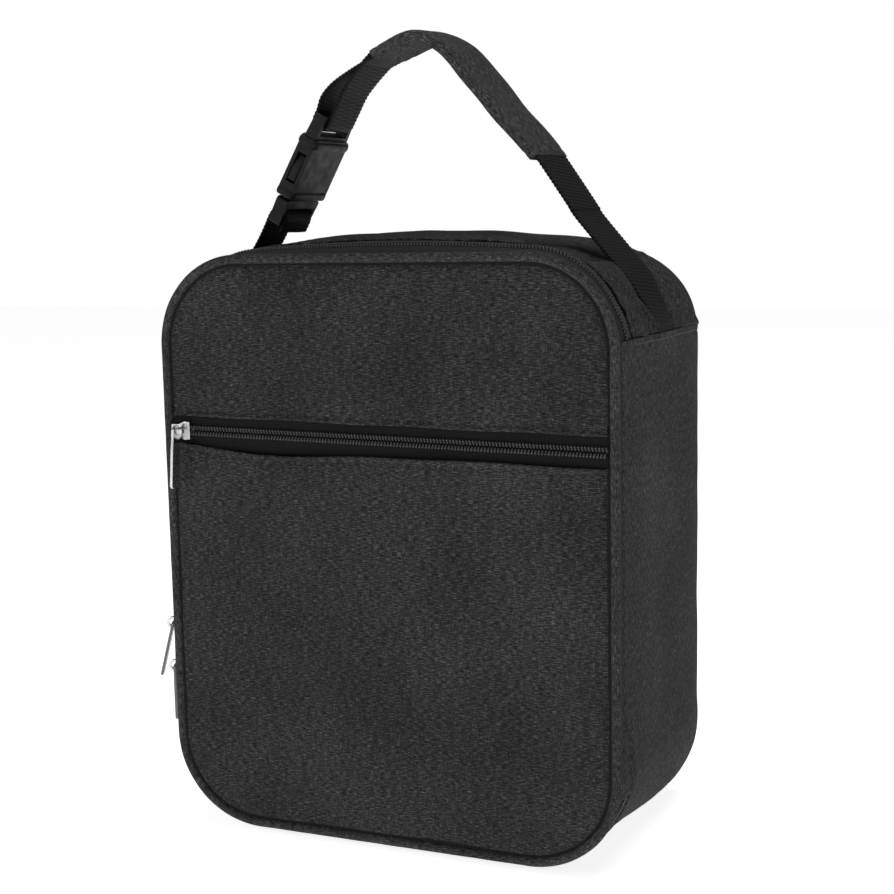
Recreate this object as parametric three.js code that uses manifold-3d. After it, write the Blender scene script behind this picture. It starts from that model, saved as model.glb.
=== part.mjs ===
// Insulated lunch bag: an upright fabric box whose whole front is a zipped lid, with a webbing handle that
// opens at a side release buckle. Millimetres, +X right, the front faces -Y, +Z up, standing on z = 0.

import * as THREE from 'three';
import { mergeVertices } from 'three/addons/utils/BufferGeometryUtils.js';
import Module from 'manifold-3d';

const wasm = await Module();
wasm.setup();

// Driving dimensions. The bag's outline is the rounded rectangle that the front piping's centre line follows.
const WIDTH = 212.6;
const HEIGHT = 260;
const DEPTH = 124;
const TOP_RADIUS = 38.4;
const BASE_RADIUS = 40;
const FOOT = 4; // outline above the floor, which the base panel reaches
const GAP = 0.3; // between neighbouring pieces

const FABRIC = 1.0;
const FOAM = 4.4;
const LINING = 0.6;
const WEBBING = 1.4;
const WEBBING_WIDTH = 25;
const PIPING_RADIUS = 2;

const TOP_SWELL = 10.5; // how far the middle of each panel stands out past the outline
const SIDE_SWELL = 3.5;
const LEFT_SWELL = 14; // the zipped side stands out further, below its shoulder
const SHOULDER = [150, 225]; // heights between which that extra swell fades out

const FRONT = -DEPTH / 2;
const BACK = DEPTH / 2;
const HALF = WIDTH / 2;
const BASE_Z = FOOT;
const TOP_Z = FOOT + HEIGHT;

const SEAM_ANGLE = 5; // where the top gusset meets the side panels, in degrees round the top corners
const ZIP_END_ANGLE = 15; // where the main zipper stops, round the lower right corner

// Main zipper, as distances behind the front piping's plane.
const LID_TAPE = [2.3, 11.2];
const LID_COIL = [11.5, 12.9];
const BODY_COIL = [14.2, 15.6];
const BODY_TAPE = [15.9, 19.5];
const GUSSET_START = 19.8;
const OPENING_BINDING = 18.3;
const TAPE = 0.9;
const COIL_HEIGHT = 1.8;
const COIL_PROUD = 0.4; // how far the chain stands above the fabric

const PANEL_INSET = PIPING_RADIUS + GAP;
const PANEL_START = -1.2; // front face of the front panels, from the piping's plane

// Pocket zipper on the front, slightly out of level.
const POCKET_Z = 185.6;
const POCKET_SLOPE = -0.0135;
const POCKET_BAND = 13.4;
const POCKET_COIL = 2.6;

// Side release buckle: where its lower end lies and how far its length leans from upright.
const BUCKLE_X = -75.3;
const BUCKLE_Z = 279.3;
const BUCKLE_LEAN = 29.3;

const colours = {
  heather: 0x353536,
  heatherDark: 0x2c2c2d,
  binding: 0x1d1d1e,
  tape: 0x242425,
  coil: 0x3a3a3b,
  webbing: 0x1c1c1d,
  plastic: 0x232324,
  metal: 0xc9c9c6,
  gunmetal: 0x6f6f70,
  foam: 0xe4e4e0,
  liner: 0xb9bcc0,
};

const materials = {
  heather: new THREE.MeshStandardMaterial({ color: colours.heather, roughness: 0.95 }),
  heatherDark: new THREE.MeshStandardMaterial({ color: colours.heatherDark, roughness: 0.95 }),
  binding: new THREE.MeshStandardMaterial({ color: colours.binding, roughness: 0.9 }),
  tape: new THREE.MeshStandardMaterial({ color: colours.tape, roughness: 0.85 }),
  coil: new THREE.MeshStandardMaterial({ color: colours.coil, roughness: 0.5 }),
  webbing: new THREE.MeshStandardMaterial({ color: colours.webbing, roughness: 0.8 }),
  plastic: new THREE.MeshStandardMaterial({ color: colours.plastic, roughness: 0.35 }),
  metal: new THREE.MeshStandardMaterial({ color: colours.metal, roughness: 0.25, metalness: 1 }),
  gunmetal: new THREE.MeshStandardMaterial({ color: colours.gunmetal, roughness: 0.3, metalness: 1 }),
  foam: new THREE.MeshStandardMaterial({ color: colours.foam, roughness: 0.9 }),
  liner: new THREE.MeshStandardMaterial({ color: colours.liner, roughness: 0.35, metalness: 0.4 }),
};

const bag = new THREE.Group();

function addMesh(name, geometry, material, parent = bag) {
  const mesh = new THREE.Mesh(geometry, material);
  mesh.name = name;
  parent.add(mesh);
  return mesh;
}

// ---------- solids ----------

// A closed solid swept through frames, each with an origin and two directions. section(frame, i) gives its
// outline there as [across, along] pairs.
function sweep(frames, section, closed = false) {
  const rings = frames.map((frame, i) => section(frame, i));
  const size = rings[0].length;
  const points = [];
  frames.forEach((frame, i) => {
    for (const [across, along] of rings[i]) {
      points.push(frame.origin.clone()
        .addScaledVector(frame.across, across)
        .addScaledVector(frame.along, along));
    }
  });
  const index = [];
  const spans = closed ? frames.length : frames.length - 1;
  for (let i = 0; i < spans; i += 1) {
    const here = i * size;
    const next = ((i + 1) % frames.length) * size;
    for (let j = 0; j < size; j += 1) {
      const k = (j + 1) % size;
      index.push(here + j, here + k, next + k, here + j, next + k, next + j);
    }
  }
  if (!closed) {
    const start = THREE.ShapeUtils.triangulateShape(rings[0].map(([a, b]) => new THREE.Vector2(a, b)), []);
    const end = THREE.ShapeUtils.triangulateShape(rings.at(-1).map(([a, b]) => new THREE.Vector2(a, b)), []);
    const offset = (frames.length - 1) * size;
    const turned = THREE.ShapeUtils.isClockWise(rings[0].map(([a, b]) => new THREE.Vector2(a, b)));
    for (const [a, b, c] of start) {
      index.push(...(turned ? [a, b, c] : [a, c, b]));
    }
    for (const [a, b, c] of end) {
      index.push(...(turned ? [offset + a, offset + c, offset + b] : [offset + a, offset + b, offset + c]));
    }
  }
  const geometry = new THREE.BufferGeometry();
  geometry.setAttribute('position', new THREE.Float32BufferAttribute(points.flatMap((p) => p.toArray()), 3));
  geometry.setIndex(signedVolume(points, index) < 0 ? flipped(index) : index);
  return geometry;
}

function signedVolume(points, index) {
  let total = 0;
  for (let i = 0; i < index.length; i += 3) {
    const [a, b, c] = [points[index[i]], points[index[i + 1]], points[index[i + 2]]];
    total += a.dot(new THREE.Vector3().crossVectors(b, c));
  }
  return total;
}

function flipped(index) {
  const result = [];
  for (let i = 0; i < index.length; i += 3) {
    result.push(index[i], index[i + 2], index[i + 1]);
  }
  return result;
}

function toSolid(geometry) {
  const bare = geometry.clone();
  bare.deleteAttribute('normal');
  bare.deleteAttribute('uv');
  const merged = mergeVertices(bare, 1e-4);
  const vertProperties = new Float32Array(merged.attributes.position.array);
  const triVerts = new Uint32Array(merged.index.array);
  return new wasm.Manifold(new wasm.Mesh({ numProp: 3, vertProperties, triVerts }));
}

function toGeometry(solid) {
  const { vertProperties, triVerts } = solid.getMesh();
  const geometry = new THREE.BufferGeometry();
  geometry.setAttribute('position', new THREE.BufferAttribute(vertProperties, 3));
  geometry.setIndex(new THREE.BufferAttribute(triVerts, 1));
  return geometry;
}

function box(low, high) {
  const size = low.map((value, i) => high[i] - value);
  const geometry = new THREE.BoxGeometry(...size);
  geometry.translate(...low.map((value, i) => value + size[i] / 2));
  return toSolid(geometry);
}

// ---------- outline ----------

// Stations round the bag's outline, anticlockwise as seen from the front, starting at the middle of the right
// side. Each has its place, its outward direction and the direction towards the back.
function station(x, z, nx, nz) {
  return {
    x,
    z,
    nz,
    origin: new THREE.Vector3(x, 0, z),
    across: new THREE.Vector3(nx, 0, nz),
    along: new THREE.Vector3(0, 1, 0),
  };
}

function corner(signX, signZ, radius, angles) {
  const centreX = signX * (HALF - radius);
  const centreZ = signZ > 0 ? TOP_Z - radius : BASE_Z + radius;
  return angles.map((degrees) => {
    const angle = THREE.MathUtils.degToRad(degrees);
    const nx = signX * Math.cos(angle);
    const nz = signZ * Math.sin(angle);
    return station(centreX + radius * nx, centreZ + radius * nz, nx, nz);
  });
}

const TOP_STEPS = [0, SEAM_ANGLE, 17.5, 30, 45, 60, 75, 90];
const BASE_STEPS = [0, ZIP_END_ANGLE, 30, 45, 60, 75, 90];
const LEFT_BASE_STEPS = [0, 4, 8, 12, 16, 20, 25, 30, 45, 60, 75, 90];
const TOP_SPANS = 8;
const SHOULDER_SHARES = [0.1, 0.2, 0.3, 0.4, 0.5, 0.6, 0.7, 0.8, 0.9, 1];

function outline() {
  const topReach = HALF - TOP_RADIUS;
  const along = [];
  for (let i = 1; i < TOP_SPANS; i += 1) {
    along.push(station(topReach * (1 - (2 * i) / TOP_SPANS), TOP_Z, 0, 1));
  }
  const shoulder = SHOULDER_SHARES.map((share) => {
    return station(-HALF, THREE.MathUtils.lerp(TOP_Z - TOP_RADIUS, SHOULDER[0], share), -1, 0);
  });
  return [
    ...corner(1, 1, TOP_RADIUS, TOP_STEPS),
    ...along,
    ...corner(-1, 1, TOP_RADIUS, TOP_STEPS.toReversed()),
    ...shoulder,
    ...corner(-1, -1, BASE_RADIUS, LEFT_BASE_STEPS),
    ...corner(1, -1, BASE_RADIUS, BASE_STEPS.toReversed()),
  ];
}

const stations = outline();
const RIGHT_SEAM = 1;
const LEFT_SEAM = 2 * TOP_STEPS.length + TOP_SPANS - 3;
const ZIP_END = stations.length - 2;

// How far the outer fabric stands out past the outline, at a distance behind the front piping.
function swell(at, distance) {
  const across = Math.abs((2 * distance) / DEPTH - 1);
  const rounded = 1 - across ** 3.2;
  const level = Math.min(1, 0.1 + (0.9 * Math.min(distance, DEPTH - distance)) / 20);
  const below = at.x < 0 ? THREE.MathUtils.smoothstep(-at.z, -SHOULDER[1], -SHOULDER[0]) : 0;
  const sideSwell = THREE.MathUtils.lerp(SIDE_SWELL, LEFT_SWELL, below);
  const side = sideSwell * Math.max(0, 1 - 2 * Math.abs(at.nz));
  const top = TOP_SWELL * (1 - (at.x / HALF) ** 2) * Math.max(0, at.nz);
  const base = FOOT * Math.max(0, -at.nz) ** 2;
  return (side + top) * rounded + base * level;
}

// A wall's section between two depths: its outer face lies `inset` inside the outer fabric.
function wall(at, depths, inset, thickness) {
  const outer = depths.map((distance) => [swell(at, distance) - inset, FRONT + distance]);
  const inner = outer.map(([out, y]) => [out - thickness, y]);
  return [...outer, ...inner.toReversed()];
}

// A flat plate with an outline of [x, z] points, between two distances behind the front piping.
function plate(points, from, to) {
  const frames = [from, to].map((distance) => ({
    origin: new THREE.Vector3(0, FRONT + distance, 0),
    across: new THREE.Vector3(1, 0, 0),
    along: new THREE.Vector3(0, 0, 1),
  }));
  return sweep(frames, () => points);
}

function offsetOutline(offset) {
  return stations.map((at) => [at.x + offset * at.across.x, at.z + offset * at.across.z]);
}

function pocketZ(x, offset) {
  return POCKET_Z + offset + POCKET_SLOPE * x;
}

// The part of an outline above or below a line parallel to the pocket zipper.
function clipped(points, offset, keepAbove) {
  const kept = [];
  points.forEach(([x, z], i) => {
    const [nextX, nextZ] = points[(i + 1) % points.length];
    const here = z - pocketZ(x, offset);
    const next = nextZ - pocketZ(nextX, offset);
    if ((here > 0) === keepAbove) {
      kept.push([x, z]);
    }
    if (here > 0 !== next > 0) {
      const t = here / (here - next);
      kept.push([x + t * (nextX - x), z + t * (nextZ - z)]);
    }
  });
  return kept;
}

// A straight strip of the pocket zipper, between two heights from its centre line.
function pocketStrip(low, high, depths) {
  const ends = [-STRIP_REACH, STRIP_REACH];
  const points = [
    ...ends.map((x) => [x, pocketZ(x, low)]),
    ...ends.toReversed().map((x) => [x, pocketZ(x, high)]),
  ];
  return plate(points, ...depths);
}

// ---------- body of the bag ----------

const range = (from, to) => stations.slice(from, to + 1);
const WALL_DEPTHS = [20.5, 27, 36, 50, 76, 88, 98, 106, 112];
const BACK_PANEL = [DEPTH - GAP - FABRIC, DEPTH - GAP];
const BACK_FOAM = [BACK_PANEL[0] - GAP - FOAM, BACK_PANEL[0] - GAP];
const BACK_LINING = [BACK_FOAM[0] - GAP - LINING, BACK_FOAM[0] - GAP];
const SHELL_DEPTHS = [GUSSET_START, 20.1, ...WALL_DEPTHS, 117, BACK_PANEL[0] - GAP];
const FORWARD_DEPTHS = [LID_TAPE[0], 11, ...SHELL_DEPTHS.slice(2)];
const CORE_DEPTHS = [...WALL_DEPTHS, BACK_LINING[0] - 0.5];

function addBody() {
  const topStations = range(RIGHT_SEAM, LEFT_SEAM);
  addMesh('top_gusset', sweep(topStations, (at) => wall(at, SHELL_DEPTHS, 0, FABRIC)), materials.heather);

  // The side and base panel is one strip. At the hinge side it runs forward to the front piping.
  const seamAngle = SEAM_ANGLE - THREE.MathUtils.radToDeg(GAP / TOP_RADIUS);
  const rightSeam = corner(1, 1, TOP_RADIUS, [0, seamAngle]);
  const leftSeam = corner(-1, 1, TOP_RADIUS, [seamAngle, 0]);
  const stepAngle = ZIP_END_ANGLE - 0.6;
  const stepped = corner(1, -1, BASE_RADIUS, [ZIP_END_ANGLE, stepAngle, 0]);
  const strip = [...leftSeam, ...range(LEFT_SEAM + 2, ZIP_END - 1), ...stepped, ...rightSeam];
  const firstForward = strip.length - 4;
  const panelWall = (at, i) => wall(at, i >= firstForward ? FORWARD_DEPTHS : SHELL_DEPTHS, 0, FABRIC);
  addMesh('side_and_base_panel', sweep(strip, panelWall), materials.heather);

  const foamInset = FABRIC + GAP;
  const foamRing = sweep(stations, (at) => wall(at, CORE_DEPTHS, foamInset, FOAM), true);
  addMesh('wall_foam', foamRing, materials.foam);
  const liningInset = foamInset + FOAM + GAP;
  const liningRing = sweep(stations, (at) => wall(at, CORE_DEPTHS, liningInset, LINING), true);
  addMesh('wall_lining', liningRing, materials.liner);

  addMesh('back_panel', plate(offsetOutline(0.4), ...BACK_PANEL), materials.heather);
  addMesh('back_foam', plate(offsetOutline(-2), ...BACK_FOAM), materials.foam);
  addMesh('back_lining', plate(offsetOutline(-3), ...BACK_LINING), materials.liner);

  const opening = [OPENING_BINDING, OPENING_BINDING + 1.9];
  const bindingRing = sweep(stations, (at) => wall(at, opening, foamInset + 0.1, FOAM + GAP + LINING), true);
  addMesh('opening_binding', bindingRing, materials.binding);
}

// ---------- main zipper ----------

// Half a zipper chain or its tape, lying in the gusset's surface from the right seam round to the lower right.
function zipStrip(depths, inset, thickness) {
  return sweep(range(RIGHT_SEAM, ZIP_END), (at) => wall(at, depths, inset, thickness));
}

function addMainZipper() {
  addMesh('lid_zip_tape', zipStrip(LID_TAPE, 0.2, TAPE), materials.tape);
  addMesh('lid_zip_coil', zipStrip(LID_COIL, -COIL_PROUD, COIL_HEIGHT), materials.coil);
  addMesh('body_zip_coil', zipStrip(BODY_COIL, -COIL_PROUD, COIL_HEIGHT), materials.coil);
  addMesh('body_zip_tape', zipStrip(BODY_TAPE, 0.2, TAPE), materials.tape);
}

// ---------- lid ----------

// Layers behind the front panels, as distances behind the piping's plane.
const PANEL_END = PANEL_START + FABRIC;
const POCKET_CHAIN = -1.2; // middle of the pocket zipper's chain
const POCKET_LINING = [1.3, 1.8];
const LID_FOAM = [POCKET_LINING[1] + GAP, POCKET_LINING[1] + GAP + FOAM];
const LID_LINING = [LID_FOAM[1] + GAP, LID_FOAM[1] + GAP + LINING];
const CHAIN_SLOT = 0.65; // half the space between two chain halves
const STRIP_REACH = HALF - PANEL_INSET - GAP;

function addLid() {
  const panel = offsetOutline(-PANEL_INSET);
  const half = POCKET_BAND / 2;
  addMesh('upper_front_panel', plate(clipped(panel, half, true), PANEL_START, PANEL_END), materials.heather);
  addMesh('lower_front_panel', plate(clipped(panel, -half, false), PANEL_START, PANEL_END), materials.heather);
  addMesh('pocket_lining', plate(clipped(panel, half, false), ...POCKET_LINING), materials.binding);
  addMesh('lid_foam', plate(offsetOutline(-PANEL_INSET - 0.7), ...LID_FOAM), materials.foam);
  addMesh('lid_lining', plate(offsetOutline(-PANEL_INSET - 0.7), ...LID_LINING), materials.liner);

  const pipingSides = 10;
  const pipingSection = Array.from({ length: pipingSides }, (_, i) => {
    const angle = (i / pipingSides) * 2 * Math.PI;
    return [PIPING_RADIUS * Math.cos(angle), FRONT + PIPING_RADIUS * Math.sin(angle)];
  });
  addMesh('front_piping', sweep(stations, () => pipingSection, true), materials.heatherDark);

  const bindingSection = [[-1.4, 2.4], [-1.4, 8.6], [-2.7, 8.6], [-2.7, 2.4]];
  const bound = bindingSection.map(([offset, distance]) => [offset, FRONT + distance]);
  addMesh('lid_seam_binding', sweep(stations, () => bound, true), materials.binding);
}

function addPocketZipper() {
  const tape = [PANEL_END - TAPE + 0.1, PANEL_END];
  const coil = [POCKET_CHAIN - COIL_HEIGHT / 2, POCKET_CHAIN + COIL_HEIGHT / 2];
  const tapeStart = POCKET_COIL + GAP;
  const tapeEnd = POCKET_BAND / 2 - GAP;
  addMesh('pocket_tape_upper', pocketStrip(tapeStart, tapeEnd, tape), materials.tape);
  addMesh('pocket_tape_lower', pocketStrip(-tapeEnd, -tapeStart, tape), materials.tape);
  addMesh('pocket_coil_upper', pocketStrip(CHAIN_SLOT, POCKET_COIL, coil), materials.coil);
  addMesh('pocket_coil_lower', pocketStrip(-POCKET_COIL, -CHAIN_SLOT, coil), materials.coil);
}

// ---------- zipper sliders ----------

// A slider in its own frame: it slides along X, its pull side faces -Y and the chain's middle is y = 0. Two
// plates sandwich the chain, a post between the two chain halves joins them, and an arch holds the pull.
const SLIDER_LENGTH = 9.6;
const SLIDER_WIDTH = 8.6;
const PLATE = 0.8;
const CHAIN_ROOM = COIL_HEIGHT / 2 + 0.45;
const POST = 0.7;
const ARCH_INNER = 1.8;
const ARCH_WIRE = 1.2;
const ARCH_WIDTH = 2;
const ARCH_RISE = 1.6; // arch centre above the outer plate
const ARCH_CENTRE = CHAIN_ROOM + PLATE + ARCH_RISE;
const ARCH_CROWN = ARCH_CENTRE + ARCH_INNER + ARCH_WIRE / 2;

function sliderGeometry() {
  const halfLength = SLIDER_LENGTH / 2;
  const halfWidth = SLIDER_WIDTH / 2;
  const side = [[-1, 0.62], [-0.2, 0.66], [0.45, 1], [1, 0.9]];
  const edge = side.map(([x, z]) => new THREE.Vector2(x * halfLength, z * halfWidth));
  const mirrored = edge.toReversed().map((point) => new THREE.Vector2(point.x, -point.y));
  const plateShape = new THREE.Shape([...edge, ...mirrored]);
  const plateAt = (y) => {
    const geometry = new THREE.ExtrudeGeometry(plateShape, { depth: PLATE, bevelEnabled: false });
    geometry.rotateX(Math.PI / 2);
    geometry.translate(0, y, 0);
    return toSolid(geometry);
  };
  const reach = CHAIN_ROOM + PLATE / 2;
  const post = box([halfLength - 4, -reach, -POST / 2], [halfLength - 0.5, reach, POST / 2]);

  const outer = ARCH_INNER + ARCH_WIRE;
  const foot = -ARCH_RISE - PLATE / 2;
  const arch = new THREE.Shape();
  arch.moveTo(-outer, foot);
  arch.absarc(0, 0, outer, Math.PI, 0, true);
  arch.lineTo(outer, foot);
  arch.lineTo(ARCH_INNER, foot);
  arch.absarc(0, 0, ARCH_INNER, 0, Math.PI, false);
  arch.lineTo(-ARCH_INNER, foot);
  arch.closePath();
  const settings = { depth: ARCH_WIDTH, bevelEnabled: false, curveSegments: 8 };
  const archGeometry = new THREE.ExtrudeGeometry(arch, settings);
  archGeometry.rotateX(Math.PI);
  archGeometry.translate(0, -ARCH_CENTRE, ARCH_WIDTH / 2);
  return toGeometry(plateAt(-CHAIN_ROOM).add(plateAt(CHAIN_ROOM + PLATE)).add(post).add(toSolid(archGeometry)));
}

// A pull in its own frame: it hangs down -Z from the origin, its width lies along Y and its thickness along X.
const PULL_LENGTH = 26;
const PULL_THICKNESS = 1.2;
const PULL_WIDTH = 6;

function pullGeometry(eye, top) {
  const half = PULL_WIDTH / 2;
  const shape = new THREE.Shape();
  shape.moveTo(-top.half + top.cut, top.z);
  shape.lineTo(top.half - top.cut, top.z);
  shape.lineTo(top.half, top.z - top.cut);
  shape.lineTo(top.half, -4.2);
  shape.lineTo(half, -8);
  shape.lineTo(half, -PULL_LENGTH + 1);
  shape.lineTo(half - 1, -PULL_LENGTH);
  shape.lineTo(-half + 1, -PULL_LENGTH);
  shape.lineTo(-half, -PULL_LENGTH + 1);
  shape.lineTo(-half, -8);
  shape.lineTo(-top.half, -4.2);
  shape.lineTo(-top.half, top.z - top.cut);
  shape.closePath();
  shape.holes.push(eye);
  return slab(shape, -PULL_THICKNESS / 2, PULL_THICKNESS / 2);
}

// A shape drawn in Y and Z, made solid between two places along X.
function slab(shape, from, to) {
  const settings = { depth: to - from, bevelEnabled: false, curveSegments: 8 };
  const geometry = new THREE.ExtrudeGeometry(shape, settings);
  const axes = [new THREE.Vector3(0, 1, 0), new THREE.Vector3(0, 0, 1), new THREE.Vector3(1, 0, 0)];
  geometry.applyMatrix4(new THREE.Matrix4().makeBasis(...axes));
  geometry.translate(from, 0, 0);
  return geometry;
}

function rectangle(lowY, highY, lowZ, highZ) {
  const corners = [[lowY, lowZ], [highY, lowZ], [highY, highZ], [lowY, highZ]];
  return new THREE.Shape(corners.map(([y, z]) => new THREE.Vector2(y, z)));
}

const UPPER_SLIDER_Z = 92;
const MAIN_SLIDER_DISTANCE = (LID_COIL[1] + BODY_COIL[0]) / 2;
const LEFT_SIDE = { x: -HALF, z: UPPER_SLIDER_Z, nz: 0 };
const MAIN_CHAIN_X = -HALF - swell(LEFT_SIDE, MAIN_SLIDER_DISTANCE) - COIL_PROUD + COIL_HEIGHT / 2;
const MAIN_CHAIN_SLOPE =
  (swell(LEFT_SIDE, BODY_COIL[1]) - swell(LEFT_SIDE, LID_COIL[0])) / (BODY_COIL[1] - LID_COIL[0]);
const LOWER_SLIDER_Z = 71;
const UPPER_PULL_TILT = 14; // it leans on the lower slider

function addMainSlider(name, z, upsideDown, pullTilt) {
  const slider = new THREE.Group();
  slider.position.set(MAIN_CHAIN_X, FRONT + MAIN_SLIDER_DISTANCE, z);
  slider.rotation.z = Math.atan(MAIN_CHAIN_SLOPE);
  bag.add(slider);
  const body = addMesh(`${name}_slider`, sliderGeometry(), materials.metal, slider);
  const sense = upsideDown ? -1 : 1;
  const slide = new THREE.Vector3(0, 0, sense);
  const inward = new THREE.Vector3(1, 0, 0);
  const acrossZip = new THREE.Vector3().crossVectors(slide, inward);
  body.setRotationFromMatrix(new THREE.Matrix4().makeBasis(slide, inward, acrossZip));

  const slot = rectangle(-ARCH_WIDTH / 2 - 0.4, ARCH_WIDTH / 2 + 0.4, -3.6, -0.8);
  const top = { half: 2.7, z: 0.6, cut: 0.3 };
  const pull = addMesh(`${name}_slider_pull`, pullGeometry(slot, top), materials.gunmetal, slider);
  pull.position.x = -ARCH_CENTRE;
  pull.rotation.y = THREE.MathUtils.degToRad(pullTilt);
}

const POCKET_SLIDER_X = -98.5;
const POCKET_PULL_TILT = 4;

function addPocketSlider() {
  const slider = new THREE.Group();
  slider.position.set(POCKET_SLIDER_X, FRONT + POCKET_CHAIN, pocketZ(POCKET_SLIDER_X, 0));
  bag.add(slider);
  const body = addMesh('pocket_slider', sliderGeometry(), materials.metal, slider);
  body.rotation.y = Math.atan(-POCKET_SLOPE);

  const eyeRadius = 1.55;
  const eyeSides = 12;
  const eye = new THREE.Shape(Array.from({ length: eyeSides }, (_, i) => {
    const angle = (i / eyeSides) * 2 * Math.PI;
    return new THREE.Vector2(eyeRadius * Math.cos(angle), eyeRadius * Math.sin(angle));
  }));
  const top = { half: 2.7, z: 2.7, cut: 1.5 };
  const pull = addMesh('pocket_slider_pull', pullGeometry(eye, top), materials.metal, slider);
  pull.position.y = -ARCH_CROWN;
  pull.rotation.y = THREE.MathUtils.degToRad(POCKET_PULL_TILT);
}

// ---------- buckle ----------

// The buckle's own frame: Z runs up its length, Y across its width and X through it, towards the hand's side.
const BAR = 3.4;
const BUCKLE_SLOT = 6;
const SLOT_HALF = 13.2;
const MALE_HALF_THICKNESS = 3.2;
const FEMALE_TOP = 56;
const FEMALE_HALF_THICKNESS = 4.4;
const FEMALE_BAR_THICKNESS = 3;
const CAVITY_HALF = 14.4;

function buckleGroup() {
  const group = new THREE.Group();
  group.position.set(BUCKLE_X, 0, BUCKLE_Z);
  group.rotation.y = THREE.MathUtils.degToRad(BUCKLE_LEAN);
  bag.add(group);
  return group;
}

function roundedShape(halfLow, halfHigh, low, high, cut) {
  const shape = new THREE.Shape();
  shape.moveTo(-halfLow + cut, low);
  shape.lineTo(halfLow - cut, low);
  shape.quadraticCurveTo(halfLow, low, halfLow, low + cut);
  shape.lineTo(halfHigh, high - cut);
  shape.quadraticCurveTo(halfHigh, high, halfHigh - cut, high);
  shape.lineTo(-halfHigh + cut, high);
  shape.quadraticCurveTo(-halfHigh, high, -halfHigh, high - cut);
  shape.lineTo(-halfLow, low + cut);
  shape.quadraticCurveTo(-halfLow, low, -halfLow + cut, low);
  return shape;
}

function solidSlab(shape, halfThickness) {
  return toSolid(slab(shape, -halfThickness, halfThickness));
}

function addBuckle() {
  const group = buckleGroup();

  const maleBase = solidSlab(roundedShape(14.6, 15.6, 0, 13.4, 2), MALE_HALF_THICKNESS);
  const maleSlot = box([-9, -SLOT_HALF, BAR], [9, SLOT_HALF, BAR + BUCKLE_SLOT]);
  const tongue = box([-1.6, -3.5, 13], [1.6, 3.5, 38]);
  addMesh('buckle_male', toGeometry(maleBase.subtract(maleSlot).add(tongue)), materials.plastic, group);

  const shell = solidSlab(roundedShape(16.5, 16.2, 14.2, 45, 2), FEMALE_HALF_THICKNESS);
  const head = solidSlab(roundedShape(16.2, 15, 43, FEMALE_TOP, 2), FEMALE_BAR_THICKNESS);
  const cavity = box([-2.6, -CAVITY_HALF, 12], [2.6, CAVITY_HALF, 42]);
  const windows = box([-2.4, -20, 21.6], [2.4, 20, 36.4]);
  const slotTop = FEMALE_TOP - BAR;
  const femaleSlot = box([-9, -SLOT_HALF, slotTop - BUCKLE_SLOT], [9, SLOT_HALF, slotTop]);
  const female = shell.add(head).subtract(cavity).subtract(windows).subtract(femaleSlot);
  addMesh('buckle_female', toGeometry(female), materials.plastic, group);

  for (const [name, side] of [['front', -1], ['rear', 1]]) {
    const armOutline = [
      [9.6, 14.3], [12.6, 14.3], [12.6, 22.4], [16.6, 22.8], [16.6, 29], [14, 35.4], [9.6, 35.4],
    ];
    const arm = new THREE.Shape(armOutline.map(([y, z]) => new THREE.Vector2(side * y, z)));
    addMesh(`buckle_prong_${name}`, slab(arm, -2, 2), materials.plastic, group);
  }
}

// A place in the buckle's frame, as [x, z] in the bag's.
function fromBuckle([across, along]) {
  const lean = THREE.MathUtils.degToRad(BUCKLE_LEAN);
  return [
    BUCKLE_X + along * Math.sin(lean) + across * Math.cos(lean),
    BUCKLE_Z + along * Math.cos(lean) - across * Math.sin(lean),
  ];
}

// ---------- webbing and grip ----------

// Centre line of the handle from the right to the left, as [x, z].
const HANDLE_LINE = [
  [73.5, 281.9], [63.3, 296.7], [55, 308.4], [46.4, 317.8], [37.5, 327.8], [19.3, 349.6], [11.6, 356.6],
  [3.4, 361], [-1.6, 361.2], [-13.1, 357.3], [-25.6, 351.4], [-37.3, 341.3],
];
const GRIP = [0.19, 0.86]; // the part of that line inside the grip
const LAYER = 0.95; // each webbing layer's distance from the centre line in the grip
const RIGHT_ANCHOR = [[110.1, 229.8], [107, 238], [102.6, 245.7], [99.6, 251.6], [86.8, 267], [74.6, 280.5]];
const LEFT_ANCHOR = [
  [-110.1, 229.8], [-107, 238], [-102.6, 245.7], [-97.1, 254.9], [-92.3, 260.6], [-84.5, 271.6],
];

function curveThrough(points) {
  return new THREE.CatmullRomCurve3(points.map(([x, z]) => new THREE.Vector3(x, 0, z)), false, 'centripetal');
}

// Frames along a list of points in the XZ plane: across is the strap's thickness and along its width.
function strapFrames(points) {
  return points.map((point, i) => {
    const before = points[Math.max(0, i - 1)];
    const after = points[Math.min(points.length - 1, i + 1)];
    const tangent = after.clone().sub(before).normalize();
    return {
      origin: point,
      across: new THREE.Vector3(tangent.z, 0, -tangent.x),
      along: new THREE.Vector3(0, 1, 0),
    };
  });
}

function strapSection(low, high, halfWidth) {
  return [[low, -halfWidth], [high, -halfWidth], [high, halfWidth], [low, halfWidth]];
}

function strap(points) {
  const section = strapSection(-WEBBING / 2, WEBBING / 2, WEBBING_WIDTH / 2);
  return sweep(strapFrames(points), () => section);
}

function sample(curve, from, to, count) {
  return Array.from({ length: count + 1 }, (_, i) => curve.getPointAt(from + ((to - from) * i) / count));
}

function shifted(points, distance) {
  return strapFrames(points).map((frame) => frame.origin.clone().addScaledVector(frame.across, distance));
}

// A turn of webbing round one of the buckle's bars, in the buckle's frame, from the hand's side outwards.
function turnRound(barThickness, centre, sense, steps) {
  const radius = barThickness + GAP + WEBBING / 2;
  return Array.from({ length: steps + 1 }, (_, i) => {
    const angle = (i / steps) * Math.PI;
    const [x, z] = fromBuckle([radius * Math.cos(angle), centre + sense * radius * Math.sin(angle)]);
    return new THREE.Vector3(x, 0, z);
  });
}

function toPoint([x, z]) {
  return new THREE.Vector3(x, 0, z);
}

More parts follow.
